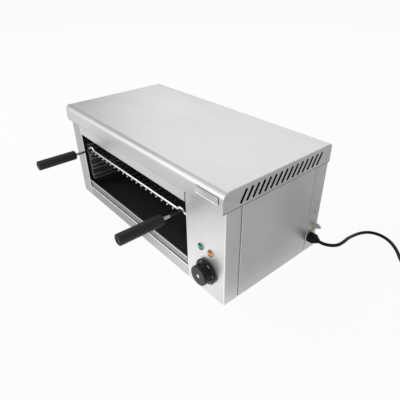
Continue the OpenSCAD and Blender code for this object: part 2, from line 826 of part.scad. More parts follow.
module space_back_wall() color("dimgray") in_space() translate([-wall_half - sheet, space_y, floor_z]) {
    cube([2 * (wall_half + sheet), sheet, reflector_z - floor_z - seat_gap]);
    cube([2 * (wall_half + sheet), flange_w, sheet]);
}

module heat_reflector() color("gray") in_space()
    translate([-wall_half - sheet, inner_y, reflector_z])
        cube([2 * (wall_half + sheet), space_y + sheet - inner_y, sheet]);

module fibre_blanket() color("whitesmoke") in_space()
    translate([-open_half, runner_y0, reflector_z + sheet + seat_gap])
        cube([2 * open_half, runner_y1 - runner_y0, blanket_t]);

// Runner sheet with a channel for the rack at each level, left one
module runner() along_y(runner_y0, runner_y1) {
    translate([-open_half - sheet, level_low - sheet])
        square([sheet, level_floor + channel_h + 2 * sheet - level_low]);
    for (i = [0 : level_count - 1], z = [-sheet, channel_h])
        translate([-open_half - eps, level_floor - i * level_pitch + z]) square([ledge_w, sheet]);
}

module left_runner() color("dimgray") in_space() runner();
module right_runner() color("dimgray") in_space() mirror([1, 0, 0]) runner();

module tray_guides() color("dimgray") in_space() both_sides() along_y(runner_y0, runner_y1) {
    translate([-open_half - sheet, floor_z]) square([sheet, rail_h - floor_z]);
    translate([-open_half - eps, rail_h - sheet]) square([ledge_w + eps, sheet]);
}

// Pan with a recessed front face, whose top edge is turned forward into an open hem
module drip_tray() color("silver") in_space() {
    along_x(-tray_half, tray_half) {
        folded(
            [
                [tray_y, tray_top - tray_hem], [tray_y, tray_z], [tray_back, tray_z],
                [tray_back, tray_z + tray_wall_h]
            ],
            [panel_bend, panel_bend]
        );
        folded(
            [
                [tray_y + sheet, tray_top - 2 * tray_hem], [tray_y + sheet, tray_top],
                [face_y, tray_top], [face_y, tray_top - tray_hem]
            ],
            [hem_bend, hem_bend]
        );
    }
    both_sides() translate([tray_half - sheet, tray_y + panel_bend, tray_z])
        cube([sheet, tray_back - tray_y - 2 * panel_bend, tray_wall_h]);
}

// ---- Rack ----

// Front bar with a hump over each handle rod
module front_bar() {
    top = hump_top / 2;
    foot = top + hump_slope;
    hump = [[-foot, 0], [-top, hump_h], [top, hump_h], [foot, 0]];
    bent_wire(
        [
            [-bar_end, rack_z],
            for (x = handle_xs, p = hump) [x + p[0], rack_z + p[1]],
            [bar_end, rack_z]
        ],
        rack_front, bar_d, hump_r
    );
}

module rack() color("silver") in_space() {
    front_bar();
    for (y = [rod_stop, rack_back]) bar_x(-bar_end, bar_end, y, rack_z, bar_d);
    both_sides() bar_y(rack_front, rack_back, bar_end - bar_d / 2, rack_z, side_d);
    for (i = [0 : cross_count - 1])
        bar_y(rack_front - bar_d / 2 - cross_proud, rack_back + bar_d / 2,
            (i - (cross_count - 1) / 2) * cross_pitch, cross_z, cross_d);
}

module handle_rods() color("black") in_space() for (x = handle_xs)
    bar_y(grip_y1 - rod_grip_l, rod_stop - bar_d / 2 - seat_gap, x, rack_z, rod_d);

module handle_ferrules() color("silver") in_space() for (x = handle_xs) difference() {
    bar_y(grip_y1, grip_y1 + ferrule_l, x, rack_z, ferrule_d);
    bar_y(grip_y1 - cut, grip_y1 + ferrule_l + cut, x, rack_z, rod_d + 2 * pin_gap);
}

// Turned grip with rounded ends and a shallow dish in its face
module grip(x) in_space() translate([x, grip_y0, rack_z]) rotate([-90, 0, 0]) difference() {
    r = grip_d / 2;
    rotate_extrude() {
        square([r - grip_edge, grip_l]);
        translate([0, grip_edge]) square([r, grip_l - 2 * grip_edge]);
        for (z = [grip_edge, grip_l - grip_edge]) translate([r - grip_edge, z]) circle(grip_edge);
    }
    translate([0, 0, -eps]) cylinder(r1 = r - grip_rim, r2 = r - grip_rim - grip_dish, h = grip_dish);
    translate([0, 0, grip_l - rod_grip_l - eps]) cylinder(d = rod_d + 2 * pin_gap, h = rod_grip_l + cut);
}

module left_grip() color("black") grip(handle_xs[0]);
module right_grip() color("black") grip(handle_xs[1]);

// ---- Heating ----

module heating_elements() color("slategray") in_casing() for (y = hairpin_ys) {
    for (s = [-1, 1]) bar_x(element_left, element_right, y + s * hairpin_w / 2, element_z, element_d);
    translate([element_left, y, element_z]) rotate([0, 0, 90])
        rotate_extrude(angle = 180) translate([hairpin_w / 2, 0]) circle(d = element_d);
}

// Sheets that hang from the reflector and hold the elements' legs in holes
module element_brackets() color("gray") in_casing() for (x = bracket_xs) difference() {
    y0 = leg_ys[0] - element_d;
    span = leg_ys[last_leg] + element_d - y0;
    union() {
        translate([x, y0, element_z - element_d]) cube([sheet, span, element_drop + element_d - seat_gap]);
        translate([x, y0, reflector_z - sheet - seat_gap]) cube([flange_w, span, sheet]);
    }
    for (y = leg_ys) bar_x(x - cut, x + sheet + cut, y, element_z, element_d + 2 * fit_gap);
}

module element_bushes() color("goldenrod") in_casing() for (y = leg_ys) difference() {
    union() {
        bar_x(wall_x - bush_rim - seat_gap, wall_x - seat_gap, y, element_z, bush_d + 2 * bush_rim);
        bar_x(wall_x - bush_rim - seat_gap, wall_x + bush_l, y, element_z, bush_d);
    }
    bar_x(wall_x - far, wall_x + far, y, element_z, element_d + 2 * pin_gap);
}

module element_insulators() color("ivory") in_casing() for (y = leg_ys)
    bar_x(element_right, element_right + insulator_l, y, element_z, element_d - sheet);

module element_pins() color("silver") in_casing() for (y = leg_ys)
    bar_x(element_right + insulator_l, pin_end, y, element_z, terminal_d);

// ---- Thermostat and lamps ----

module thermostat_body() color("darkslategray") in_casing() difference() {
    union() {
        translate([knob_x - thermostat_w / 2, inner_y, knob_z - thermostat_h / 2])
            cube([thermostat_w, thermostat_l, thermostat_h]);
        bar_y(face_y, inner_y + cut, knob_x, knob_z, neck_d);
        for (s = [-1, 1]) translate([knob_x + s * tab_dx - tab_w / 2, thermostat_back - eps, knob_z])
            cube([tab_w, tab_l + eps, tab_t]);
    }
    bar_y(face_y - cut, thermostat_back - spindle_d, knob_x, knob_z, spindle_d + 2 * spindle_play);
    for (s = [-1, 1]) bar_y(inner_y - cut, inner_y + screw_l, knob_x, knob_z + s * screw_pitch / 2,
        knob_screw_d + 2 * pin_gap);
}

module thermostat_spindle() color("silver") in_casing()
    bar_y(knob_y + socket_z, thermostat_back - spindle_d - cut, knob_x, knob_z, spindle_d);

// Sensing bulb along the top of the right wall
module thermostat_bulb() color("peru") in_casing() bar_y(bulb_y0, bulb_y1, bulb_x, bulb_z, bulb_d);

module bulb_clips() color("silver") in_casing() for (y = [bulb_y0 + flange_w, bulb_y1 - 2 * flange_w])
    difference() {
        translate([bulb_x - bulb_d / 2 - sheet, y, bulb_z - bulb_d / 2 - sheet])
            cube([1.5 * bulb_d + sheet, flange_w, bulb_d + 2 * sheet]);
        bar_y(y - cut, y + flange_w + cut, bulb_x, bulb_z, bulb_d + 2 * pin_gap);
    }

// Thin tube from the bulb, through the right wall, to the thermostat's back
module capillary_tube() color("peru") in_casing() lead(
    [
        [bulb_x, bulb_y0, bulb_z], [bulb_x, capillary_y, bulb_z],
        [pin_end + capillary_d, capillary_y, bulb_z],
        [knob_x, thermostat_back + 2 * flange_w, knob_z + thermostat_h / 4],
        [knob_x, thermostat_back, knob_z + thermostat_h / 4]
    ],
    capillary_d
);

module thermostat_screws() color("silver") in_casing() for (s = [-1, 1]) {
    z = knob_z + s * screw_pitch / 2;
    bar_y(face_y, inner_y + screw_l - cut, knob_x, z, knob_screw_d);
    bar_y(face_y - knob_head_h, face_y, knob_x, z, knob_head_d);
}

// Turned knob: a bevelled skirt that carries the scale, and a grip with two finger hollows
module thermostat_knob() color("black") in_casing() translate([knob_x, knob_y, knob_z])
    rotate([-90, 0, 0]) difference() {
        r = knob_d / 2;
        l = knob_l - skirt_gap;
        rim = skirt_t / 2;
        rotate_extrude() {
            square([r - knob_edge, l]);
            translate([0, knob_edge]) square([r, l - knob_edge]);
            translate([r - knob_edge, knob_edge]) circle(knob_edge);
            translate([0, l - skirt_t]) polygon([
                [0, 0], [skirt_d / 2 - rim, 0], [skirt_d / 2, rim], [skirt_d / 2, skirt_t], [0, skirt_t]
            ]);
        }
        for (s = [-1, 1]) rotate(hollow_turn) translate([s * (r + hollow_r - hollow_depth), 0, hollow_rim])
            cylinder(r = hollow_r, h = l - skirt_t - hollow_rim - hollow_ledge);
        translate([0, 0, l - recess_l]) cylinder(d = recess_d, h = recess_l + cut);
        translate([0, 0, -cut]) cylinder(d = disc_d + 2 * pin_gap, h = disc_t + cut);
        translate([0, 0, socket_z - seat_gap]) cylinder(d = spindle_d + 2 * pin_gap, h = l);
    }

module knob_disc() color("silver") in_casing() bar_y(knob_y, knob_y + disc_t, knob_x, knob_z, disc_d);

// A lens: a short barrel with a domed face
module lens(x) in_casing() translate([x, lamp_y, lamp_z]) rotate([90, 0, 0]) intersection() {
    dome_r = lens_d;
    cylinder(d = lens_d, h = lens_h);
    translate([0, 0, lens_h - dome_r]) sphere(dome_r);
}

module green_lens() color("mediumseagreen") lens(lamp_xs[0]);
module orange_lens() color("darkorange") lens(lamp_xs[1]);

module lamp_bezels() color("whitesmoke") in_casing() for (x = lamp_xs) difference() {
    bar_y(lamp_y - bezel_rim, face_y, x, lamp_z, bezel_d);
    bar_y(lamp_y - bezel_rim - cut, lamp_y, x, lamp_z, lens_d + 2 * pin_gap);
}

module lamp_bodies() color("whitesmoke") in_casing() for (x = lamp_xs) {
    bar_y(face_y, face_y + lamp_body_l, x, lamp_z, lamp_body_d);
    for (s = [-1, 1]) translate([x + s * tab_w - tab_w / 2, face_y + lamp_body_l - eps, lamp_z])
        cube([tab_w - sheet, tab_l, tab_t]);
}

module lamp_nuts() color("silver") in_casing() for (x = lamp_xs) difference() {
    bar_y(inner_y, inner_y + lamp_nut_t, x, lamp_z, bezel_d);
    bar_y(face_y, inner_y + lamp_nut_t + cut, x, lamp_z, lamp_body_d + 2 * pin_gap);
}

// ---- Supply ----

module terminal_block() color("ivory") in_casing() difference() {
    translate([block_x, block_y, floor_z]) cube([block_w, block_d, block_h]);
    for (x = pole_xs) bar_z(pole_z, floor_z + block_h + cut, x, pole_y, pole_d + 2 * pin_gap);
}

module terminal_screws() color("goldenrod") in_casing() for (x = pole_xs)
    bar_z(pole_z, pole_z + block_h / 4, x, pole_y, pole_d);

// Leads from the cord's tail to the block, and on to the thermostat, the elements and the stud
module wiring_loom() color("firebrick") in_casing() {
    near = block_y - flange_w;
    tab_z = knob_z + tab_t / 2;
    for (i = [0 : 2]) {
        z = gland_z - (i - 1) * (core_d + fit_gap);
        lead([
            [tail_end, gland_y, z], [tail_end - 4 * core_d, gland_y, z],
            [pole_xs[i], block_y + block_d + 4 * core_d, lead_z], [pole_xs[i], block_y + block_d, lead_z]
        ], core_d);
    }
    lead([
        [pole_xs[0], block_y, lead_z], [pole_xs[0], near, lead_z],
        [knob_x - tab_dx, tab_y + 2 * flange_w, tab_z], [knob_x - tab_dx, tab_y, tab_z]
    ], core_d);
    lead([
        [knob_x + tab_dx, tab_y, tab_z], [knob_x + tab_dx, tab_y + 1.5 * flange_w, tab_z],
        [pin_end + 1.5 * flange_w, leg_ys[0], element_z], [pin_end, leg_ys[0], element_z]
    ], core_d);
    if (element_count > 1) for (i = [1 : element_count - 1]) {
        x = pin_end + flange_w;
        lead([
            [pin_end, leg_ys[2 * i - 1], element_z], [x, leg_ys[2 * i - 1], element_z],
            [x, leg_ys[2 * i], element_z], [pin_end, leg_ys[2 * i], element_z]
        ], core_d);
    }
    lead([
        [pin_end, leg_ys[last_leg], element_z], [pin_end + 1.5 * flange_w, leg_ys[last_leg], element_z],
        [pole_xs[1], near, lead_z], [pole_xs[1], block_y, lead_z]
    ], core_d);
    lead([
        [pole_xs[2], block_y, lead_z], [pole_xs[2], near, lead_z],
        [stud_end - flange_w, near, stud_z], [stud_end - flange_w, stud_y, stud_z],
        [stud_end, stud_y, stud_z]
    ], core_d);
}

// The end of the supply cord inside the gland and the casing
module supply_tail() color("black") in_casing() bar_x(tail_end, gland_tip, gland_y, gland_z, cord_d);

module cable_gland() color("black") in_casing() difference() {
    collar = body_x + gland_l / 4;
    dome = body_x + gland_l * 0.6;
    union() {
        bar_x(gland_end, body_x + cut, gland_y, gland_z, gland_thread_d);
        hex_x(body_x, collar, gland_y, gland_z, gland_af);
        bar_x(body_x, dome, gland_y, gland_z, gland_thread_d + sheet);
        hex_x(collar + sheet, dome, gland_y, gland_z, gland_af);
        translate([dome - eps, gland_y, gland_z]) rotate([0, 90, 0])
            cylinder(d1 = gland_af, d2 = 1.5 * cord_d, h = gland_tip - dome + eps);
    }
    bar_x(body_x - far, body_x + far, gland_y, gland_z, cord_d + 2 * pin_gap);
}

module gland_nut() color("black") in_casing() difference() {
    hex_x(sheet_x - gland_nut_t, sheet_x, gland_y, gland_z, gland_af);
    bar_x(gland_end, body_x, gland_y, gland_z, gland_thread_d + 2 * pin_gap);
}

module earth_stud() color("silver") in_casing() bar_x(stud_end, stud_tip, stud_y, stud_z, stud_d);

// A nut inside the strip, and outside it two washers and nuts for the earth wire
module earth_nuts() color("silver") in_casing() difference() {
    union() {
        hex_x(sheet_x - stud_nut_t, sheet_x, stud_y, stud_z, stud_nut_af);
        for (x = stud_out) {
            bar_x(x, x + washer_t, stud_y, stud_z, washer_d);
            hex_x(x + washer_t + seat_gap, x + washer_t + seat_gap + stud_nut_t, stud_y, stud_z, stud_nut_af);
        }
    }
    bar_x(body_x - far, body_x + far, stud_y, stud_z, stud_d + 2 * pin_gap);
}

module earth_patch() color("gold") in_casing()
    translate([body_x, stud_y - patch_l / 2 - sheet, stud_z - washer_d / 2 - patch_h - sheet])
        cube([patch_t, patch_l, patch_h]);

// ---- Screws, rivets and feet ----

// Hood screws in the back, and a screw with its nut in each rear strip
module casing_screws() color("silver") in_casing() {
    for (x = hood_screw_xs) {
        bar_y(casing_d - screw_l, casing_d + eps, x, hood_screw_z, screw_d);
        bar_y(casing_d, casing_d + head_h, x, hood_screw_z, head_d);
    }
    both_sides() {
        bar_x(body_x - screw_l, body_x + eps, stud_y, strip_screw_z, screw_d);
        bar_x(body_x, body_x + head_h, stud_y, strip_screw_z, head_d);
        hex_x(sheet_x - nut_t, sheet_x, stud_y, strip_screw_z, nut_af);
    }
}

module hood_rivets() color("silver") in_casing() both_sides() {
    bar_x(sheet_x - rivet_head_h, plate_x + rivet_head_h, rivet_y, rivet_z, rivet_d);
    bar_x(sheet_x - rivet_head_h, sheet_x, rivet_y, rivet_z, rivet_head_d);
    bar_x(plate_x, plate_x + rivet_head_h, rivet_y, rivet_z, rivet_head_d);
}

module rubber_feet() color("black") in_casing() at_feet() difference() {
    translate([0, 0, -foot_h]) cylinder(d1 = foot_d - 2 * sheet, d2 = foot_d, h = foot_h);
    bar_z(-foot_h - cut, -foot_h / 2, 0, 0, head_d + cut);
    bar_z(-foot_h - cut, cut, 0, 0, screw_d + 2 * fit_gap);
}

module foot_screws() color("silver") in_casing() at_feet() {
    bar_z(-foot_h / 2 - head_h, -foot_h / 2, 0, 0, head_d);
    bar_z(-foot_h / 2 - eps, floor_z + nut_t + cut, 0, 0, screw_d);
    translate([0, 0, floor_z]) cylinder(d = nut_af / cos(30), h = nut_t, $fn = 6);
}

// ---- Free cord and plug, in the part's own frame ----

module mains_cord() color("black") tube(cord_route, cord_d, 10, [0, 0, 1]);

// Outer shape of the coil, two turns wide
module cord_coil() color("black") translate([coil_centre[0], coil_centre[1], 0])
    rotate_extrude($fn = 64)
        translate([coil_mid_d / 2 - cord_d, 0]) square([2 * cord_d, coil_layers * cord_d]);

// Plug on its side, its pins pointing away from the coil
module mains_plug() color("black") translate([plug_x, plug_y, plug_d / 2]) rotate([-90, 0, 0]) {
    taper = cord_d + neck_l / 3;
    cylinder(d1 = cord_d + 2 * sheet, d2 = taper, h = relief_l);
    translate([0, 0, relief_l - eps]) cylinder(d1 = taper, d2 = plug_neck_d, h = neck_l / 2);
    translate([0, 0, relief_l + neck_l / 2 - 2 * eps]) cylinder(d = plug_neck_d, h = neck_l / 2 + cut);
    translate([0, 0, relief_l + neck_l]) rotate_extrude() {
        square([plug_d / 2 - plug_edge, plug_face_l]);
        translate([0, plug_edge]) square([plug_d / 2, plug_face_l - plug_edge]);
        translate([plug_d / 2 - plug_edge, plug_edge]) circle(plug_edge);
    }
}

module plug_pins() color("silver") for (s = [-1, 1])
    bar_y(plug_face_y + plug_face_l, plug_face_y + plug_face_l + pin_l, plug_x + s * pin_pitch / 2,
        plug_d / 2, pin_d);

hood();
front_fascia();
left_front_post();
control_panel();
left_side_cover();
right_side_cover();
back_panel();
base_front_rail();
base_pan();
badge_plate();
space_left_wall();
space_right_wall();
space_back_wall();
heat_reflector();
fibre_blanket();
left_runner();
right_runner();
tray_guides();
drip_tray();
rack();
handle_rods();
handle_ferrules();
left_grip();
right_grip();
heating_elements();
element_brackets();
element_bushes();
element_insulators();
element_pins();
thermostat_body();
thermostat_spindle();
thermostat_bulb();
bulb_clips();
capillary_tube();
thermostat_screws();
thermostat_knob();
knob_disc();
green_lens();
orange_lens();
lamp_bezels();
lamp_bodies();
lamp_nuts();
terminal_block();
terminal_screws();
wiring_loom();
supply_tail();
cable_gland();
gland_nut();
earth_stud();
earth_nuts();
earth_patch();
casing_screws();
hood_rivets();
rubber_feet();
foot_screws();
mains_cord();
cord_coil();
mains_plug();
plug_pins();
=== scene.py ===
# %% [markdown]
# # A cheese melter in brushed steel
#
# A cheese melter is a counter-top electric grill. Its body is folded from stainless sheet. A
# wire rack slides in runners under glowing elements, a drip tray slides in below it, and a
# thermostat knob and two lamps sit on the panel to the right of the opening.
#
# The CAD model already gives every sheet, bar and screw its true size and place. This lesson
# puts a studio round it and gives each piece its finish. Flat CAD sheets need only a material
# and a softened edge. Turned, moulded and bent pieces get new surfaces worked out with numpy.

# %% Load the frame
import json

import bmesh
import bpy
import numpy as np
from mathutils import Matrix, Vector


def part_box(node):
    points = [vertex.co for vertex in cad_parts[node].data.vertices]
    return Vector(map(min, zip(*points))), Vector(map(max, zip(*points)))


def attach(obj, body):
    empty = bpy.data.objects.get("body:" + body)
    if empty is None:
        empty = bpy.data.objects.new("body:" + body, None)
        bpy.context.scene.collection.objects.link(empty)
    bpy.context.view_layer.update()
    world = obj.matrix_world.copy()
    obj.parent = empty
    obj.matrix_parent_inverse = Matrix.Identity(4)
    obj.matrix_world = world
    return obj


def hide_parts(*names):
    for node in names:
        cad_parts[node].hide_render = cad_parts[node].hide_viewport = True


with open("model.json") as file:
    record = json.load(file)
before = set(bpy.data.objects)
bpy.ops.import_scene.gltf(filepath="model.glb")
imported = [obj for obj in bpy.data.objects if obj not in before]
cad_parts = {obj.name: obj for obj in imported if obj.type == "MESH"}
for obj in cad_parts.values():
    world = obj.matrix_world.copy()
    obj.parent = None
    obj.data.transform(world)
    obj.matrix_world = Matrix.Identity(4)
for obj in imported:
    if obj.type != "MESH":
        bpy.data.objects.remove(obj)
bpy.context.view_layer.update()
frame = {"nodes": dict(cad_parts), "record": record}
MM = 0.001

# %% [markdown]
# ## The camera
#
# The camera looks down at the right front corner of the appliance. Its lens is given by its
# focal length in pixels of a square picture, because that is what fixes the perspective. The
# turn is written as a heading, a tilt and a slight roll, and three unit vectors are worked out
# from them. They are the columns of the camera's rotation.

# %% Camera
CAMERA_PLACE = (0.6573, -0.4343, 0.5724)
HEADING, TILT, ROLL = np.radians([50.5, -32.24, -1.03])
PICTURE_WIDTH = 400
FOCAL_PIXELS = 379.3
SENSOR_WIDTH = 36


def placed(x_axis, y_axis, z_axis, place):
    """The matrix whose columns are where an object's own axes point, and its place."""
    columns = np.eye(4)
    columns[:3] = np.stack([x_axis, y_axis, z_axis, place], axis=1)
    return Matrix(columns.tolist())


ahead = np.array([-np.sin(HEADING) * np.cos(TILT), np.cos(HEADING) * np.cos(TILT), np.sin(TILT)])
level_right = np.array([np.cos(HEADING), np.sin(HEADING), 0])
level_up = np.cross(level_right, ahead)
right = level_right * np.cos(ROLL) + level_up * np.sin(ROLL)
up = level_up * np.cos(ROLL) - level_right * np.sin(ROLL)

camera_data = bpy.data.cameras.new("camera")
camera_data.sensor_width = SENSOR_WIDTH
camera_data.lens = FOCAL_PIXELS / PICTURE_WIDTH * SENSOR_WIDTH
camera = bpy.data.objects.new("camera", camera_data)
camera.matrix_world = placed(right, up, -ahead, CAMERA_PLACE)
bpy.context.scene.collection.objects.link(camera)
bpy.context.scene.camera = camera
print("lens in millimetres:", round(camera_data.lens, 2))

# %% [markdown]
# ## Surfaces from numpy
#
# Every new piece is a grid of points: rows along the piece and columns round it. One formula
# fills the whole grid, so no loop visits the points one by one. The faces between the rows are
# quads, and each open end is closed by one many-sided face. A piece whose volume comes out
# negative has its faces pointing inwards, so they are turned round.

# %% Grids, ends and pieces
def ring_quads(rows, columns):
    """Quads between neighbouring rows of a grid whose columns run right round, so that the last
    column's neighbour is the first one."""
    row = np.arange(rows - 1)[:, None]
    column = np.arange(columns)[None, :]
    column_after = (column + 1) % columns
    corners = np.broadcast_arrays(
        row * columns + column,
        row * columns + column_after,
        (row + 1) * columns + column_after,
        (row + 1) * columns + column,
    )
    return np.stack([corner.ravel() for corner in corners], axis=1)


def ends(rows, columns):
    """One face over the first row and one over the last, facing away from each other."""
    first = np.arange(columns)[None, ::-1]
    return [first, first[:, ::-1] + (rows - 1) * columns]


def six_volumes(points, face_sets):
    """Six times the volume inside the faces: the sum of a . (b x c) over their triangles."""
    total = 0
    for faces in face_sets:
        for k in range(1, faces.shape[1] - 1):
            a, b, c = (points[faces[:, j]] for j in (0, k, k + 1))
            total += np.einsum("ij,ij->", a, np.cross(b, c))
    return total


made = {}


def add_piece(name, body, slot, points, face_sets, smooth_to=40):
    """Makes a piece of points in metres. Edges that bend less than smooth_to degrees are
    shaded as one curved surface."""
    points = np.asarray(points).reshape(-1, 3)
    turn = -1 if six_volumes(points, face_sets) < 0 else 1
    faces = [face for faces in face_sets for face in faces[:, ::turn].tolist()]
    mesh = bpy.data.meshes.new(name)
    mesh.from_pydata(points.tolist(), [], faces)
    mesh.shade_smooth()
    mesh.set_sharp_from_angle(angle=np.radians(smooth_to))
    piece = bpy.data.objects.new(name, mesh)
    bpy.context.scene.collection.objects.link(piece)
    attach(piece, body)
    made[name] = slot
    print(name, "faces:", len(faces))
    return piece


print("a ring of 3 rows and 4 columns has", len(ring_quads(3, 4)), "quads")

# %% [markdown]
# ## Tubes along a curve
#
# A cord or a rod is a circle carried along a path. The path goes through a few chosen points on
# cubics that share their direction where they meet, so it has no kinks. Each circle stands
# square to the path, which keeps the tube's thickness even round its bends.

# %% Curves through points
def smooth_through(points, steps):
    """A curve through all the points. Between b and c it is the cubic that leaves b along
    (c - a) / 2 and reaches c along (d - b) / 2, where a and d are the points on either side."""
    p = np.vstack([2 * points[0] - points[1], points, 2 * points[-1] - points[-2]])
    a, b, c, d = (p[k : len(p) - 3 + k, None, :] for k in range(4))
    t = np.linspace(0, 1, steps, endpoint=False)[None, :, None]
    curve = b + (c - a) * t / 2 + (a - 2.5 * b + 2 * c - d / 2) * t**2
    curve = curve + (3 * b - a - 3 * c + d) / 2 * t**3
    return np.vstack([curve.reshape(-1, 3), points[-1:]])


def length_of(path):
    """The sum of the distances between neighbouring points."""
    return np.linalg.norm(np.diff(path, axis=0), axis=1).sum()


def unit(vectors):
    """The same directions with length 1."""
    return vectors / np.linalg.norm(vectors, axis=-1, keepdims=True)


def tube_grid(path, radius, sides):
    """Circles square to the path. At each point the circle's plane is spanned by the cross
    product of the path's way with straight up, and by that crossed with the way."""
    way = unit(np.gradient(path, axis=0))
    across = unit(np.cross(way, (0, 0, 1)))
    rise = np.cross(across, way)
    angle = np.linspace(0, 2 * np.pi, sides, endpoint=False)[None, :, None]
    ring = across[:, None] * np.cos(angle) + rise[:, None] * np.sin(angle)
    return path[:, None] + ring * radius


corner_test = smooth_through(np.array([(0.0, 0, 0), (1, 0, 0), (1, 1, 0)]), 8)
print("a corner of length 2 becomes a curve of length", round(length_of(corner_test), 3))

# %% [markdown]
# ## The mains cord
#
# The cord is a fixed length of rubber flex: about 1.5 m on such an appliance. It leaves the
# gland sideways, turns back and sinks to the counter, comes round in one wide bend, and the rest
# is wound into a neat coil. The loose stretch is a smooth curve through the same points as in
# the CAD source. The coil is worked out from one list of what the radius and the height are at
# each angle, and between those angles both change smoothly.

# %% The cord's route
CORD_D = 7.4 * MM
ROUTE = MM * np.array(
    [
        (314, 186, 43), (320, 186, 43), (329, 187.5, 43), (337, 191.5, 43), (343.5, 198, 42.5),
        (347.5, 206, 41.5), (349, 215.5, 40), (348.5, 228, 37.5), (346.5, 242.5, 34),
        (343.5, 258, 29.5), (340.5, 273, 24), (338, 289, 17.5), (336, 305, 11.5),
        (335.5, 320, 7), (337.5, 334, 4.5), (343, 346, 4), (352, 355.5, 4), (364, 361.5, 4),
        (378, 363, 4), (393, 360, 4), (407, 353, 4), (420, 343, 4), (432, 331, 4),
        (443, 318, 4), (454, 306, 4), (466, 296, 4), (481, 289, 4),
    ]
)  # fmt: skip
COIL_CENTRE = np.array([0.500, 0.332])
COIL_MID_R = 42 * MM
COIL_LAYERS = 3
coil_outer, coil_inner = COIL_MID_R + CORD_D / 2, COIL_MID_R - CORD_D / 2
layer = [CORD_D * (k + 0.5) for k in range(COIL_LAYERS)]
coil_stops = [
    # degrees, radius, height
    (-90, coil_outer, layer[0]), (210, coil_outer, layer[0]),
    (270, coil_inner, layer[0]), (510, coil_inner, layer[0]),
    (570, coil_inner, layer[1]), (810, coil_inner, layer[1]),
    (870, coil_outer, layer[1]), (1110, coil_outer, layer[1]),
    (1170, coil_outer, layer[2]), (1440, coil_outer, layer[2]),
]  # fmt: skip


def eased_between(x, stops, column):
    """The stops' values at x: constant or eased by 3 t^2 - 2 t^3 from one stop to the next."""
    stops = np.array(stops)
    k = np.clip(np.searchsorted(stops[:, 0], x, side="right") - 1, 0, len(stops) - 2)
    t = (x - stops[k, 0]) / (stops[k + 1, 0] - stops[k, 0])
    share = t * t * (3 - 2 * t)
    return stops[k, column] + (stops[k + 1, column] - stops[k, column]) * share


COIL_STEP = 6
LOOSE_STEPS = 6
turns = np.arange(coil_stops[0][0], coil_stops[-1][0] + COIL_STEP, COIL_STEP, dtype=float)
coil_r = eased_between(turns, coil_stops, 1)
coil_path = np.stack(
    [
        COIL_CENTRE[0] + coil_r * np.cos(np.radians(turns)),
        COIL_CENTRE[1] + coil_r * np.sin(np.radians(turns)),
        eased_between(turns, coil_stops, 2),
    ],
    axis=1,
)
loose_path = smooth_through(np.vstack([ROUTE, coil_path[:1]]), LOOSE_STEPS)
loose_length, coil_length = length_of(loose_path), length_of(coil_path)
print("loose cord:", round(loose_length, 3), "m, coil:", round(coil_length, 3), "m")

# %% [markdown]
# ## The cord's surface
#
# The last stretch leads out of the coil straight into the plug. Then the whole cord is one tube:
# a new piece that stands for both of the CAD nodes that hold the cord. Sixteen sides are enough
# for a cord that is a few pixels wide, because its shading is smooth.

# %% Cord
PLUG_LEAD = 18 * MM
LEAD_STEPS = 4
CORD_SIDES = 16
plug_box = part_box("mains_plug")
plug_x = (plug_box[0][0] + plug_box[1][0]) / 2
plug_z = (plug_box[0][2] + plug_box[1][2]) / 2
lead_start = coil_path[-1]
lead_end = np.array([plug_x, lead_start[1] + PLUG_LEAD, plug_z])
lead_share = np.linspace(0, 1, LEAD_STEPS + 1)[1:, None]
lead_path = lead_start + (lead_end - lead_start) * lead_share
cord_path = np.vstack([loose_path[:-1], coil_path, lead_path])
cord_points = tube_grid(cord_path, CORD_D / 2, CORD_SIDES)
cord_faces = [ring_quads(len(cord_path), CORD_SIDES), *ends(len(cord_path), CORD_SIDES)]
cord_run = add_piece("supply_cord", "casing", "rubber_black", cord_points, cord_faces)
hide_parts("mains_cord", "cord_coil")

# %% [markdown]
# ## Turned pieces
#
# The plug, the knob, the grips, the lenses and the ferrules are all round about an axis. Each
# is a profile, a list of places along the axis with the radius there, that is carried round the
# axis in a ring of columns. A function of the place and the angle may then press finger hollows
# or ribs into it. Corners of a profile are eased, because a moulded or machined edge is never
# quite sharp and catches a line of light.

# %% Profiles and turning
MOST_OF_EDGE = 0.49


def eased_corners(corners, reach, steps=5):
    """Each inner corner b between a and c becomes the curve (1-t)^2 p + 2 t (1-t) b + t^2 q,
    where p and q lie the given reach before and after the corner, but never past MOST_OF_EDGE
    of the edge that they are on."""
    corners = np.array(corners, dtype=float)
    before, corner, after = corners[:-2], corners[1:-1], corners[2:]
    reach = np.broadcast_to(reach, len(corner))[:, None]
    to_before, to_after = before - corner, after - corner
    size_before = np.linalg.norm(to_before, axis=1, keepdims=True)
    size_after = np.linalg.norm(to_after, axis=1, keepdims=True)
    p = corner + to_before * np.minimum(reach / size_before, MOST_OF_EDGE)
    q = corner + to_after * np.minimum(reach / size_after, MOST_OF_EDGE)
    t = np.linspace(0, 1, steps)[None, :, None]
    curve = (1 - t) ** 2 * p[:, None] + 2 * t * (1 - t) * corner[:, None] + t**2 * q[:, None]
    return np.vstack([corners[:1], curve.reshape(-1, 2), corners[-1:]])


def with_steps(profile, step):
    """The profile with points added evenly, so that none is further than a step from the next."""
    gaps = np.linalg.norm(np.diff(profile, axis=0), axis=1)
    counts = np.maximum(np.ceil(gaps / step).astype(int), 1)
    at = np.concatenate([k + np.arange(n) / n for k, n in enumerate(counts)] + [[len(counts)]])
    rows = np.arange(len(profile))
    return np.stack([np.interp(at, rows, column) for column in profile.T], axis=1)


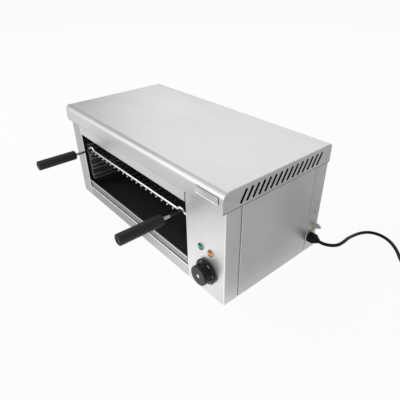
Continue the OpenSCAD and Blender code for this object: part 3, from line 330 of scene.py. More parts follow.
def turned(profile, start, columns, press=None):
    """Points of start + axis * along + radius * (u cos(angle) + v sin(angle)), and their faces.
    The axis is Y, u is X and v is -Z. press(along, angle, radius) gives a changed radius."""
    axis, u, v = np.array([(0.0, 1, 0), (1, 0, 0), (0, 0, -1)])
    along, radius = np.array(profile).T[:, :, None]
    angle = np.linspace(0, 2 * np.pi, columns, endpoint=False)[None, :]
    radius = radius + 0 * angle
    if press is not None:
        radius = press(along, angle, radius)
    ring = u * np.cos(angle)[..., None] + v * np.sin(angle)[..., None]
    points = np.array(start) + axis * along[..., None] + radius[..., None] * ring
    rows = len(profile)
    return points.reshape(-1, 3), [ring_quads(rows, columns), *ends(rows, columns)]


def merged(parts):
    """Several closed surfaces as one piece: their points in a row, with the faces renumbered."""
    offsets = np.cumsum([0] + [len(points) for points, _ in parts[:-1]])
    points = np.vstack([points for points, _ in parts])
    return points, [faces + start for (_, sets), start in zip(parts, offsets) for faces in sets]


def middle(node):
    """The middle of a CAD node's box."""
    return np.mean(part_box(node), axis=0)


print("a 10 mm bar in steps of 4 mm has", len(with_steps(np.array([(0, 1), (10, 1)]), 4)), "rows")

# %% [markdown]
# ## The plug
#
# The plug is moulded rubber: a long ribbed strain relief that lets the cord bend gently, a neck
# with a grip, and a round face that carries two pins. The ribs are rings, so they are a wave in
# the profile's radius along the axis. The grip's ridges are a wave in the radius round the axis.

# %% Plug
RELIEF_L, NECK_L, FACE_L = 30 * MM, 22 * MM, 22 * MM
RELIEF_R, RELIEF_END_R, NECK_R, FACE_R = 4.7 * MM, 7.37 * MM, 13.5 * MM, 19 * MM
RIB_DEPTH, RIB_PITCH = 0.7 * MM, 3 * MM
RIDGE_DEPTH, RIDGE_COUNT, RIDGE_STOP = 0.5 * MM, 24, 1 * MM
PLUG_HUB_R = 1 * MM
NECK_TAPER_L = NECK_L / 2
neck_end = RELIEF_L + NECK_L
plug_profile = with_steps(
    eased_corners(
        [
            # along the axis, radius
            (0, PLUG_HUB_R), (0, RELIEF_R), (RELIEF_L, RELIEF_END_R),
            (RELIEF_L + NECK_TAPER_L, NECK_R), (neck_end, NECK_R), (neck_end, FACE_R),
            (neck_end + FACE_L, FACE_R), (neck_end + FACE_L, PLUG_HUB_R),
        ],
        # how far each inner corner is eased
        [0.5 * MM, 3 * MM, 4 * MM, 1 * MM, 3 * MM, 1.2 * MM],
    ),
    step=0.6 * MM,
)  # fmt: skip


def plug_press(along, angle, radius):
    """Ribs round the relief and ridges along the neck, both cut into the plain form."""
    ribbed = (along > RIB_PITCH) & (along < RELIEF_L - RIB_PITCH)
    rib = RIB_DEPTH * (0.5 + 0.5 * np.cos(2 * np.pi * along / RIB_PITCH)) * ribbed
    on_neck = (along > RELIEF_L + NECK_TAPER_L) & (along < neck_end - RIDGE_STOP)
    ridge = RIDGE_DEPTH * (0.5 + 0.5 * np.cos(RIDGE_COUNT * angle)) * on_neck
    return radius - rib - ridge


plug_start = (plug_x, plug_box[0][1], plug_z)
plug = add_piece(
    "moulded_plug", "casing", "rubber_black",
    *turned(plug_profile, plug_start, columns=72, press=plug_press),
)  # fmt: skip
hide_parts("mains_plug")

# %% [markdown]
# ## Sheet metal and wire
#
# The folded sheets have the right shape already, but their edges are perfectly sharp and their
# folds are facets. A copy of each sheet with its loose triangles joined can be shaded smoothly
# over the folds, and a bevel a few tenths of a millimetre wide gives each cut edge the thin
# bright line that real sheet shows. The bars of the rack and the rods only need the shading.

# %% Copies of CAD nodes with softened edges
JOIN_WITHIN = 0.002 * MM
FLAT_DEGREES, SMOOTH_DEGREES, EDGE_DEGREES = 0.3, 30, 45
body_of = {
    node: body for body, nodes in frame["record"]["behaviour"]["bodies"].items() for node in nodes
}
slot_of = {name: node.data.materials[0].name for name, node in frame["nodes"].items()}


def soften(node, edge=0):
    """Replaces a CAD node by a copy with joined triangles, smooth folds and bevelled edges."""
    joined = bmesh.new()
    joined.from_mesh(frame["nodes"][node].data)
    bmesh.ops.remove_doubles(joined, verts=joined.verts, dist=JOIN_WITHIN)
    bmesh.ops.dissolve_limit(
        joined, angle_limit=np.radians(FLAT_DEGREES), verts=joined.verts, edges=joined.edges
    )
    mesh = bpy.data.meshes.new(node + "_soft")
    joined.to_mesh(mesh)
    joined.free()
    mesh.shade_smooth()
    mesh.set_sharp_from_angle(angle=np.radians(SMOOTH_DEGREES))
    piece = bpy.data.objects.new(node + "_soft", mesh)
    bpy.context.scene.collection.objects.link(piece)
    if edge:
        bevel = piece.modifiers.new("edge", "BEVEL")
        bevel.width = edge
        bevel.segments = 2
        bevel.limit_method = "ANGLE"
        bevel.angle_limit = np.radians(EDGE_DEGREES)
        bevel.harden_normals = True
    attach(piece, body_of[node])
    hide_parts(node)
    made[piece.name] = slot_of[node]
    print(piece.name, "faces:", len(mesh.polygons))


SHEET_EDGE = 0.3 * MM
for node in (
    "hood", "front_fascia", "left_front_post", "control_panel", "left_side_cover",
    "right_side_cover", "back_panel", "base_front_rail", "drip_tray", "left_runner",
    "right_runner",
):  # fmt: skip
    soften(node, SHEET_EDGE)
for node in (
    "rack", "heating_elements", "earth_nuts", "earth_stud", "casing_screws", "hood_rivets",
):  # fmt: skip
    soften(node)

# %% [markdown]
# ## The knob
#
# The thermostat knob is one phenolic moulding: a flat skirt that carries the scale, and a round
# grip with two finger hollows. Each hollow is part of a cylinder beside the grip. Seen from the
# axis, that cylinder's near side is at c cos(a) - sqrt(r^2 - c^2 sin(a)^2), with its centre at
# the distance c, its radius r and the angle a from its direction. The grip keeps the smaller of
# its own radius and that one, and a smooth step along the axis starts and ends the hollow.

# %% Knob
KNOB_R, KNOB_L, SKIRT_R, SKIRT_T = 21 * MM, 20 * MM, 27.5 * MM, 3 * MM
DISC_R, DISC_T = 6.05 * MM, 0.8 * MM
SOCKET_R, SOCKET_AT, RECESS_R, RECESS_L = 3.05 * MM, 8 * MM, 22 * MM, 1.3 * MM
HOLLOW_R, HOLLOW_DEPTH, HOLLOW_FROM, HOLLOW_TO = 14 * MM, 5 * MM, 5.5 * MM, 16.5 * MM
HOLLOW_TURN = np.radians(60)
HOLLOW_SLOPE = 1 * MM
KNOB_HUB_R = 0.5 * MM
skirt_at = KNOB_L - SKIRT_T
knob_x, _, knob_z = middle("knob_disc")
knob_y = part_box("thermostat_knob")[0][1]
knob_profile = with_steps(
    eased_corners(
        [
            (DISC_T, KNOB_HUB_R), (DISC_T, DISC_R), (0, DISC_R), (0, KNOB_R), (skirt_at, KNOB_R),
            (skirt_at, SKIRT_R - SKIRT_T / 2), (skirt_at + SKIRT_T / 2, SKIRT_R),
            (KNOB_L, SKIRT_R), (KNOB_L, RECESS_R), (KNOB_L - RECESS_L, RECESS_R),
            (KNOB_L - RECESS_L, SOCKET_R), (SOCKET_AT, SOCKET_R), (SOCKET_AT, KNOB_HUB_R),
        ],
        np.array([0.1, 0.3, 1.5, 0.8, 0.3, 0.3, 0.3, 0.3, 0.2, 0.2, 0.1]) * MM,
    ),
    step=0.5 * MM,
)  # fmt: skip


def smooth_step(x, low, high):
    """0 below low, 1 above high, and 3 t^2 - 2 t^3 between them."""
    t = np.clip((x - low) / (high - low), 0, 1)
    return t * t * (3 - 2 * t)


def press_hollows(along, angle, radius):
    """Two finger hollows on opposite sides of the grip."""
    far = KNOB_R + HOLLOW_R - HOLLOW_DEPTH
    from_hollow = np.mod(angle - HOLLOW_TURN + np.pi / 2, np.pi) - np.pi / 2
    inside = np.clip(HOLLOW_R**2 - (far * np.sin(from_hollow)) ** 2, 0, None)
    reach = np.where(inside > 0, far * np.cos(from_hollow) - np.sqrt(inside), KNOB_R)
    start = smooth_step(along, HOLLOW_FROM, HOLLOW_FROM + HOLLOW_SLOPE)
    stop = smooth_step(along, HOLLOW_TO - HOLLOW_SLOPE, HOLLOW_TO)
    depth = np.clip(KNOB_R - reach, 0, None) * start * (1 - stop)
    return np.where(radius > KNOB_R - HOLLOW_DEPTH, np.minimum(radius, radius - depth), radius)


knob = add_piece(
    "turned_knob", "knob", "knob_black",
    *turned(knob_profile, (knob_x, knob_y, knob_z), columns=144, press=press_hollows),
)  # fmt: skip
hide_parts("thermostat_knob")

# %% [markdown]
# ## The scale
#
# The scale is printed white on the skirt: a tick at every 25 degrees and plain numbers at every
# 50, over three quarters of a turn. A tick is a thin raised box. The numbers are text made into
# a mesh, laid flat on the skirt and turned so that their feet point at the axis.

# %% Ticks and numbers
PRINT_T = 0.06 * MM
TICK_IN, TICK_OUT, TICK_W = 24.7 * MM, 25.9 * MM, 0.5 * MM
NUMBER_AT, NUMBER_H, STROKE_GROWTH = 22.9 * MM, 3.0 * MM, 0.1 * MM
TEXT_SIZE = 1.35 * NUMBER_H
SCALE_FIRST, SCALE_SPAN, NUMBER_FIRST, NUMBER_LAST, NUMBER_STEP = 225, 270, 50, 300, 50
face_at = knob_y + skirt_at - PRINT_T
BOX_FACES = np.array(
    [(0, 1, 3, 2), (4, 6, 7, 5), (0, 4, 5, 1), (2, 3, 7, 6), (0, 2, 6, 4), (1, 5, 7, 3)]
)


def tick(degrees):
    """A flat box along a radius of the skirt, at an angle from +X towards +Z."""
    out = np.array([np.cos(np.radians(degrees)), 0, np.sin(np.radians(degrees))])
    side = np.array([-out[2], 0, out[0]])
    front = np.array([0, 1.0, 0])
    corners = [
        out * r + side * w + front * y
        for r in (TICK_IN, TICK_OUT)
        for w in (-TICK_W / 2, TICK_W / 2)
        for y in (0, 2 * PRINT_T)
    ]
    return np.array(corners) + (knob_x, face_at, knob_z), [BOX_FACES]


def number(text, degrees):
    """A number as a thin mesh on the skirt. Its own up becomes the way out from the axis."""
    curve = bpy.data.curves.new("number", "FONT")
    curve.body = text
    curve.size = TEXT_SIZE
    curve.align_x = "CENTER"
    curve.align_y = "CENTER"
    curve.extrude = PRINT_T
    curve.offset = STROKE_GROWTH
    curve.resolution_u = 2
    holder = bpy.data.objects.new("number", curve)
    bpy.context.scene.collection.objects.link(holder)
    bpy.context.view_layer.update()
    flat = bpy.data.meshes.new_from_object(holder)
    bpy.data.objects.remove(holder)
    points = np.zeros(len(flat.vertices) * 3)
    flat.vertices.foreach_get("co", points)
    points = points.reshape(-1, 3)
    out = np.array([np.cos(np.radians(degrees)), 0, np.sin(np.radians(degrees))])
    side = np.array([out[2], 0, -out[0]])
    laid = points[:, :1] * side + (points[:, 1:2] + NUMBER_AT) * out
    laid = laid + points[:, 2:] * np.array([0, -1.0, 0]) + (knob_x, face_at, knob_z)
    faces = [np.array([face.vertices[:]]) for face in flat.polygons]
    return laid, faces


scale_values = np.arange(NUMBER_FIRST, NUMBER_LAST + 1, NUMBER_STEP / 2)
scale_share = (scale_values - NUMBER_FIRST) / (NUMBER_LAST - NUMBER_FIRST)
scale_angles = SCALE_FIRST - SCALE_SPAN * scale_share
ticks = [tick(angle) for angle in scale_angles]
numbers = [
    number(str(int(value)), angle)
    for value, angle in zip(scale_values[::2], scale_angles[::2])
]
add_piece("scale_ticks", "knob", "knob_black", *merged(ticks))
add_piece("scale_numbers", "knob", "knob_black", *merged(numbers), smooth_to=20)

# %% [markdown]
# ## Disc and lenses
#
# The knob's centre has a plain turned disc with a raised rim. Each lamp has a domed lens behind a
# thin bezel. The dome is an ellipse: at the share s of the lens's radius it stands back from its
# tip by the rise times 1 - sqrt(1 - s^2). The profile stops just short of the axis, where a small
# face closes it.

# %% Disc and lenses
HUB_R = 0.3 * MM
RIM_AT, FIELD_AT, DISC_BACK = 0.1 * MM, 0.25 * MM, 0.7 * MM
DISC_EDGE_R, FIELD_R = 5.9 * MM, 4.6 * MM
disc_profile = [
    (DISC_BACK, HUB_R), (DISC_BACK, DISC_EDGE_R), (RIM_AT, DISC_EDGE_R), (FIELD_AT, FIELD_R),
    (FIELD_AT, HUB_R),
]  # fmt: skip
disc_start = (knob_x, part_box("knob_disc")[0][1], knob_z)
disc = add_piece(
    "plain_disc", "knob", "disc_silver",
    *turned(eased_corners(disc_profile, 0.3 * MM), disc_start, columns=48),
)  # fmt: skip
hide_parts("knob_disc")

LENS_R, LENS_RISE = 7.2 * MM, 2.1 * MM
LENS_TIP_SHARE, LENS_ROWS = 0.04, 12
lens_share = np.linspace(1, LENS_TIP_SHARE, LENS_ROWS)
dome = np.stack([LENS_RISE * (1 - np.sqrt(1 - lens_share**2)), LENS_R * lens_share], axis=1)
for lens in ("green_lens", "orange_lens"):
    low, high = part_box(lens)
    x, _, z = middle(lens)
    depth = high[1] - low[1]
    lens_profile = np.vstack([[(depth, HUB_R), (depth, LENS_R)], dome])
    piece = add_piece(
        "domed_" + lens, "casing", slot_of[lens], *turned(lens_profile, (x, low[1], z), columns=40)
    )
    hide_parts(lens)

# %% [markdown]
# ## Grips, ferrules and rods
#
# Each handle is a dark rod in a turned grip, with a bright ferrule where the rod goes in. The
# grip narrows a little towards its ferrule, its outer end is dished, and it is bored for the
# rod. The two rods are one piece, and so are the two ferrules, as in the CAD source.

# %% Grips, ferrules and rods
GRIP_R, GRIP_END_R, ROD_R, FERRULE_R = 11.75 * MM, 11.4 * MM, 2.5 * MM, 3.5 * MM
GRIP_L, ROD_IN_GRIP, FERRULE_L = 97 * MM, 60 * MM, 18 * MM
DISH_T, DISH_R, DISH_RIM_R, BORE_R = 1.2 * MM, 6 * MM, 7.3 * MM, 2.6 * MM
FERRULE_BORE_R, FERRULE_INNER_R, FERRULE_GAP = 2.56 * MM, 2.55 * MM, 0.1 * MM
GRIP_HUB_R = 0.5 * MM
bore_end = GRIP_L - ROD_IN_GRIP
grip_profile = with_steps(
    eased_corners(
        [
            (DISH_T, GRIP_HUB_R), (DISH_T, DISH_R), (0, DISH_RIM_R), (0, GRIP_R),
            (GRIP_L, GRIP_END_R), (GRIP_L, BORE_R), (bore_end, BORE_R), (bore_end, GRIP_HUB_R),
        ],
        np.array([1, 0.8, 4, 4, 0.3, 0.1]) * MM,
        steps=8,
    ),
    step=4 * MM,
)  # fmt: skip
ferrule_profile = eased_corners(
    [
        (0, FERRULE_BORE_R), (0, FERRULE_R), (FERRULE_L, FERRULE_R), (FERRULE_L, FERRULE_BORE_R),
        (FERRULE_GAP, FERRULE_INNER_R),
    ],
    np.array([0.6, 0.9, 0.2]) * MM,
)  # fmt: skip
rod_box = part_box("handle_rods")
rod_length = rod_box[1][1] - rod_box[0][1]
rod_profile = eased_corners(
    [(0, HUB_R), (0, ROD_R), (rod_length, ROD_R), (rod_length, HUB_R)], 0.6 * MM
)
rods, ferrules = [], []
for side in ("left", "right"):
    low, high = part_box(side + "_grip")
    x, _, z = middle(side + "_grip")
    grip = add_piece(
        side + "_turned_grip", "rack", "grip_black",
        *turned(grip_profile, (x, low[1], z), columns=64),
    )  # fmt: skip
    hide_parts(side + "_grip")
    ferrules.append(turned(ferrule_profile, (x, high[1], z), columns=48))
    rods.append(turned(rod_profile, (x, rod_box[0][1], z), columns=32))
ferrule_pair = add_piece("turned_ferrules", "rack", "wire_chrome", *merged(ferrules))
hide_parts("handle_ferrules")
rod_pair = add_piece("handle_bars", "rack", "rod_black", *merged(rods))
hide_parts("handle_rods")

# %% [markdown]
# ## The bare plate
#
# A small stamped plate sits on the rolled front edge. It has nothing on it: a raised rim round a
# flat field. Its outline is a rectangle with round corners, and each row of the grid is that
# outline moved inwards by some distance and set at some height.

# %% Plate
PLATE_CORNER = 3 * MM
PLATE_COLUMNS = 24
plate_low, plate_high = np.array(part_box("badge_plate"))
plate_middle = (plate_low + plate_high) / 2
plate_half = (plate_high - plate_low) / 2


def round_outline(inset):
    """Four quarter circles, whose centres are a corner's radius inside the plate's corners, with
    their radius less the inset."""
    angle = np.concatenate([np.linspace(0, 90, PLATE_COLUMNS // 4) + 90 * k for k in range(4)])
    quarter = np.repeat([(1, 1), (-1, 1), (-1, -1), (1, -1)], PLATE_COLUMNS // 4, axis=0)
    angle = np.radians(angle)
    arc = np.stack([np.cos(angle), np.sin(angle)], axis=1) * (PLATE_CORNER - inset)
    return quarter * (plate_half[[0, 2]] - PLATE_CORNER) + arc


PLATE_ROWS = MM * np.array(
    # inset, how far behind the plate's front
    [(0.1, 1.2), (0, 1.1), (0, 0.25), (0.25, 0), (1.7, 0), (2, 0.35), (2.4, 0.4)]
)
plate_points = []
for inset, back in PLATE_ROWS:
    outline = round_outline(inset)
    plate_points.append(
        np.stack(
            [
                plate_middle[0] + outline[:, 0],
                np.full(len(outline), plate_low[1] + back),
                plate_middle[2] + outline[:, 1],
            ],
            axis=1,
        )
    )
plate = add_piece(
    "bare_plate", "casing", slot_of["badge_plate"], np.array(plate_points),
    [ring_quads(len(PLATE_ROWS), PLATE_COLUMNS), *ends(len(PLATE_ROWS), PLATE_COLUMNS)],
    smooth_to=50,
)  # fmt: skip
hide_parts("badge_plate")


# %% [markdown]
# ## Writing shaders as sums
#
# A procedural finish is arithmetic on places and noises. In the node editor each plus sign is a
# node and two links. The small class below wraps a socket, so that `0.4 + 0.1 * cloud` adds the
# nodes by itself. Only the operators that the finishes use are there.

# %% Values
class Value:
    """A socket that gives a value. Operators on it add Math nodes to its shader."""

    def __init__(self, shader, socket):
        self.shader, self.socket = shader, socket

    def math(self, operation, first, second=0.0):
        return self.shader.node("ShaderNodeMath", {"operation": operation}, {0: first, 1: second})

    def __add__(self, other):
        return self.math("ADD", self, other)

    def __radd__(self, other):
        return self.math("ADD", other, self)

    def __sub__(self, other):
        return self.math("SUBTRACT", self, other)

    def __rsub__(self, other):
        return self.math("SUBTRACT", other, self)

    def __mul__(self, other):
        return self.math("MULTIPLY", self, other)

    def __rmul__(self, other):
        return self.math("MULTIPLY", other, self)

    def __gt__(self, other):
        return self.math("GREATER_THAN", self, other)

    def __lt__(self, other):
        return self.math("LESS_THAN", self, other)

    def least(self, other):
        return self.math("MINIMUM", self, other)

    def clamped(self):
        return self.math("MAXIMUM", self.least(1.0), 0.0)

    def __abs__(self):
        return self.math("ABSOLUTE", self)


print("a Value's methods:", *(name for name, entry in vars(Value).items() if callable(entry)))

# %% [markdown]
# ## A material's nodes
#
# Everything that isn't arithmetic comes from one method, node, which takes the node's type, its
# settings and what its sockets get. The other methods are short names for the nodes that most
# finishes share: the place of a point, limits along the axes, a noise, a blend of two colours
# and a bump.

# %% Shaders
class Shader:
    """A material that is being written, with one Principled surface, or a world's nodes."""

    def __init__(self, name, world=None):
        if world:
            self.tree = world.node_tree
            return
        self.material = bpy.data.materials.new(name)
        self.material.use_nodes = True
        self.tree = self.material.node_tree
        self.tree.nodes.clear()
        self.surface = self.tree.nodes.new("ShaderNodeBsdfPrincipled")
        output = self.tree.nodes.new("ShaderNodeOutputMaterial")
        self.tree.links.new(self.surface.outputs[0], output.inputs["Surface"])

    def feed(self, socket, value):
        """Links a value to a socket, or writes a plain number or colour on it."""
        if isinstance(value, Value):
            self.tree.links.new(value.socket, socket)
        elif socket.type == "RGBA":
            socket.default_value = (*value, 1)
        else:
            socket.default_value = value

    def node(self, kind, settings=None, sockets=None, result=0):
        """Adds a node: its settings first, then its sockets. Gives the socket named result."""
        node = self.tree.nodes.new(kind)
        for key, value in (settings or {}).items():
            setattr(node, key, value)
        for key, value in (sockets or {}).items():
            self.feed(node.inputs[key], value)
        return Value(self, node.outputs[result])

    def place(self):
        """Where a point is, in metres."""
        return self.node("ShaderNodeTexCoord", result="Object")

    def parts_of(self, vector):
        """The x, y and z of a vector."""
        node = self.tree.nodes.new("ShaderNodeSeparateXYZ")
        self.feed(node.inputs[0], vector)
        return [Value(self, part) for part in node.outputs]

    def inside(self, limits):
        """1 where a point lies between each pair of limits and 0 elsewhere. A pair belongs to
        the axis 0, 1 or 2, for x, y or z."""
        parts = self.parts_of(self.place())
        share = 1.0
        for axis, (low, high) in limits.items():
            share = share * (parts[axis] > float(low)) * (parts[axis] < float(high))
        return share

    def noise(self, scale, detail=2.0, roughness=0.5):
        """A noise from 0 to 1 whose cells are 1 / scale metres wide, one scale for each axis."""
        spread = self.node("ShaderNodeMapping", None, {"Vector": self.place(), "Scale": scale})
        return self.node(
            "ShaderNodeTexNoise",
            None,
            {"Vector": spread, "Scale": 1.0, "Detail": detail, "Roughness": roughness},
        )

    def blend(self, share, low, high):
        """A colour between low and high."""
        return self.node(
            "ShaderNodeMix",
            {"data_type": "RGBA", "clamp_factor": True},
            {0: share, 6: low, 7: high},
            result=2,
        )

    def bump(self, height, strength, depth):
        """A normal that follows a height whose full range is depth metres."""
        return self.node(
            "ShaderNodeBump", None, {"Height": height, "Strength": strength, "Distance": depth}
        )

    def done(self, **sockets):
        """Feeds the surface's sockets, named in words, and gives the finished material."""
        for name, value in sockets.items():
            socket = name.replace("_", " ").title().replace("Ior", "IOR")
            self.feed(self.surface.inputs[socket], value)
        return self.material


print("a Shader's methods:", *(name for name in vars(Shader) if not name.startswith("__")))

# %% [markdown]
# ## Brushed steel
#
# Brushing leaves thousands of fine parallel scratches. They are far finer than a pixel, so what
# shows is a streaky change of gloss along the grain, over slow clouds from handling and
# polishing. A noise that is stretched a hundred times along the grain gives the streaks. On the
# hood's flanks the same sheet has been folded down, so its grain turns upright there: the mask
# for that is how far the surface faces sideways.

# %% A brushed finish
ALONG_X, ALONG_Y, UPRIGHT = (14, 1300, 1300), (1300, 14, 1300), (1300, 1300, 14)
CLOUD_ALONG, CLOUD_ACROSS = 3.5, 8
CLOUD_SHARE, STREAK_SHARE = 1.5, 0.45
DARKER, LIGHTER = 0.87, 1.11
CLOUD_DULLS, STREAK_DULLS = 0.16, 0.12
SCRATCH_STRENGTH, SCRATCH_DEPTH = 0.12, 0.2 * MM
SIDEWAYS = 0.7


def brushed(name, colour, roughness, grain, flank_grain=None, metallic=0.88, marks=()):
    """Satin steel with a grain, whose flanks may have another grain. The shade between its
    darker and its lighter tone is a half, plus the cloud's and the streak's distances from a
    half, each times its share. The roughness rises with both. Then each mark is laid on."""
    shader = Shader(name)
    streak = shader.noise(grain, 3, 0.6)
    if flank_grain:
        normal = shader.node("ShaderNodeNewGeometry", result="Normal")
        sideways = abs(shader.parts_of(normal)[0]) > SIDEWAYS
        streak = streak + sideways * (shader.noise(flank_grain, 3, 0.6) - streak)
    cloud_scale = [CLOUD_ALONG if scale == min(grain) else CLOUD_ACROSS for scale in grain]
    cloud = shader.noise(cloud_scale, 3, 0.55)
    shade = 0.5 + CLOUD_SHARE * (cloud - 0.5) + STREAK_SHARE * (streak - 0.5)
    dark = tuple(DARKER * c for c in colour)
    light = tuple(min(LIGHTER * c, 1) for c in colour)
    tint = shader.blend(shade, dark, light)
    for limits, tone in marks:
        tint = shader.blend(shader.inside(limits), tint, (tone,) * 3)
    smoothest = roughness - (CLOUD_DULLS + STREAK_DULLS) / 2
    return shader.done(
        base_color=tint,
        metallic=metallic,
        roughness=smoothest + CLOUD_DULLS * cloud + STREAK_DULLS * streak,
        normal=shader.bump(streak, SCRATCH_STRENGTH, SCRATCH_DEPTH),
    )


print("a streak is", round(1 / max(ALONG_X) / MM, 2), "by", round(1 / min(ALONG_X) / MM), "mm")

# %% [markdown]
# ## Thin lines on the front sheets
#
# The rounded edge of a fold mirrors a bright part of the room as a thin line, and a seam is a thin
# dark one. Both are about as narrow as the sheet is thick, so the material paints them. The bright
# fold lines and the rail's top edge are painted highlights. The dark strip just under the hood's
# hem, all that lies above it, the post's return and the rail's foot are painted shade. The seam is
# a dark joint. A mark is a grey tone between limits along some axes. The limits start from the
# boxes of the CAD nodes, so a mark stays on its fold when the source changes a size. Marks are
# laid on in order, so under the hood the darkest painted shade comes last.

# %% Marks on the panel, the post, the rail and the fascia
SHEET_T = 1 * MM
FAR = 1.0
UNDER_HOOD = 1.3 * MM
PANEL_RIGHT_FOLD, PANEL_LEFT_FOLD = 2.2 * MM, 2.6 * MM
POST_FOLD, POST_RETURN = 3 * MM, 1.2 * MM
RAIL_HEAD, RAIL_FOOT = 1.6 * MM, 1.2 * MM
FASCIA_SEAM = 1.5 * MM


def mark(tone, x=None, y=None, z=None):
    """The limits along the given axes, and the grey tone between them."""
    return {axis: pair for axis, pair in enumerate((x, y, z)) if pair}, tone


hood_low, hood_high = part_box("hood")
panel_low, panel_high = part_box("control_panel")
post_low, post_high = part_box("left_front_post")
rail_low, rail_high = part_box("base_front_rail")
fascia_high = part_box("front_fascia")[1]
front_of_panel = (-FAR, panel_low[1] + SHEET_T)
# Painted shade: a dark strip just below the hood's hem, and near-black above it, where the hood
# shades the sheets.
painted_shade_under_hood = [
    mark(0.1, z=(hood_low[2] - UNDER_HOOD, FAR)),
    mark(0.01, z=(hood_low[2] + UNDER_HOOD, FAR)),
]
panel_painted_light = [
    *painted_shade_under_hood,
    # Painted highlights along the panel's right and left folds.
    mark(0.92, x=(panel_high[0] - PANEL_RIGHT_FOLD, FAR), y=front_of_panel),
    mark(0.86, x=(-FAR, panel_low[0] + PANEL_LEFT_FOLD), y=front_of_panel),
]
post_painted_light = [
    *painted_shade_under_hood,
    # A painted highlight on the post's inner fold, and painted shade on its return.
    mark(0.85, x=(post_high[0] - POST_FOLD, FAR), y=(-FAR, post_low[1] + SHEET_T)),
    mark(0.03, x=(post_high[0] - POST_RETURN, FAR), y=(post_low[1] + POST_RETURN, FAR)),
]
rail_painted_light = [
    # A painted highlight along the rail's top edge, and painted shade along its foot.
    mark(0.8, z=(rail_high[2] - RAIL_HEAD, FAR)),
    mark(0.3, z=(0, rail_low[2] + RAIL_FOOT)),
]
# The fascia takes the hood's painted shade, and a dark joint at its seam with the panel.
fascia_painted_shade_and_seam = [*painted_shade_under_hood, mark(0.06, x=(fascia_high[0] - FASCIA_SEAM, FAR))]
print("panel, post, rail, fascia:", *map(len, (panel_painted_light, post_painted_light, rail_painted_light, fascia_painted_shade_and_seam)))

# %% [markdown]
# ## The hood's inside, the tray's front and the plate's bead
#
# The hood's lower hem is painted darker than its faces, as a painted shade line, and its inside is
# painted black where the slots open into it, as painted shade. The tray's polished front gets
# painted reflections: level bands that stand for the rail, the wires and the counter mirrored in
# it. The plate has a painted highlight on its rim, a dark painted shade line along its bead and a
# bright field, so it takes three tones, each further in than the last. Its outermost edge keeps
# the plate's dark grey as a painted shade outline. Behind its front the plate has painted shadow.

# %% Marks on the hood, the tray and the plate
HOOD_SKIN, HOOD_LIP_L, HOOD_CROWN = 0.56 * MM, 12 * MM, 6 * MM
TRAY_FRONT_L = 5 * MM
PLATE_SKIN = 0.5 * MM
hood_painted_shade = [
    # Painted shade along the hood's lower hem.
    mark(0.25, z=(0, hood_low[2] + UNDER_HOOD)),
    # Painted shade: the hood's inside is near-black where the slots show it.
    mark(
        0.02,
        x=(hood_low[0] + HOOD_SKIN, hood_high[0] - HOOD_SKIN),
        y=(hood_low[1] + HOOD_LIP_L, hood_high[1] - HOOD_SKIN),
        z=(0, hood_high[2] - HOOD_CROWN),
    ),
]
tray_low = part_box("drip_tray")[0]
# Painted reflections and shade: level bands on the tray's front for the rail, the wires and the
# counter mirrored in it.
tray_painted_reflections = [
    # millimetres above the tray's underside from and to, tone
    (0, 2.6, 0.05), (4.4, 5.8, 0.14), (7.6, 9, 0.42), (10, 11.4, 0.1), (13.4, 14.6, 0.34),
    (16.4, 18.6, 0.06), (18.8, 24, 0.5),
]  # fmt: skip
tray_painted_light = [
    mark(tone, z=(tray_low[2] + low * MM, tray_low[2] + high * MM))
    for low, high, tone in tray_painted_reflections
]
# Painted shade on the tray behind its front, inside the grill.
tray_painted_light.append(mark(0.22, y=(tray_low[1] + TRAY_FRONT_L, FAR)))
# A painted highlight on the rim, a painted shade line along the bead, and the field's own grey.
plate_painted_tones = [
    # millimetres inwards from the plate's outline, tone
    (0.5, 0.92), (2.2, 0.22), (2.9, 0.84),
]  # fmt: skip
plate_painted_light = [
    mark(
        tone,
        x=(plate_low[0] + inset * MM, plate_high[0] - inset * MM),
        z=(plate_low[2] + inset * MM, plate_high[2] - inset * MM),
    )
    for inset, tone in plate_painted_tones
]
# Painted shadow on the plate's sides, behind its front.
plate_painted_light.append(mark(0.04, y=(plate_low[1] + PLATE_SKIN, FAR)))
print("hood, tray, plate:", *map(len, (hood_painted_shade, tray_painted_light, plate_painted_light)))

# %% [markdown]
# ## The runners
#
# A runner is a web that carries the ledges. The web is painted dull, as painted shade, and the
# ledges' tips and front ends are painted bright, as painted highlights. The web is on the outer
# side, which is the left side of the left runner and the right side of the right one.

# %% Runner steel
WEB_T, TIP_W = 1.3 * MM, 1.6 * MM


def runner_steel(side, web_first):
    """Steel with a web of painted shade, then tips and a front end of painted highlight. With
    web_first, the web is at the lower x."""
    low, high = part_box(side + "_runner")
    web, tip = (low[0] - FAR, low[0] + WEB_T), (high[0] - TIP_W, FAR)
    if not web_first:
        web, tip = (high[0] - WEB_T, FAR), (low[0] - FAR, low[0] + TIP_W)
    marks = [mark(0.2, x=web), mark(0.95, x=tip), mark(0.9, y=(-FAR, low[1] + TIP_W))]
    return brushed(
        side + "_runner_steel", (0.4, 0.39, 0.37), 0.36, ALONG_Y, metallic=0.6, marks=marks
    )


own_finish = {
    "left_runner_soft": runner_steel("left", True),
    "right_runner_soft": runner_steel("right", False),
}
print("runners:", *own_finish)

# %% [markdown]
# ## Steel for each sheet
#
# All sheets are the same satin steel. Each has its own grey, lighter or darker to paint the light
# and shade that fall on it, its own grain and its own painted lines. The grain runs along a
# sheet's longer side. Only the hood is folded over its flanks, and so has two grains.

# %% Sheets
STEEL = (0.68, 0.68, 0.67)
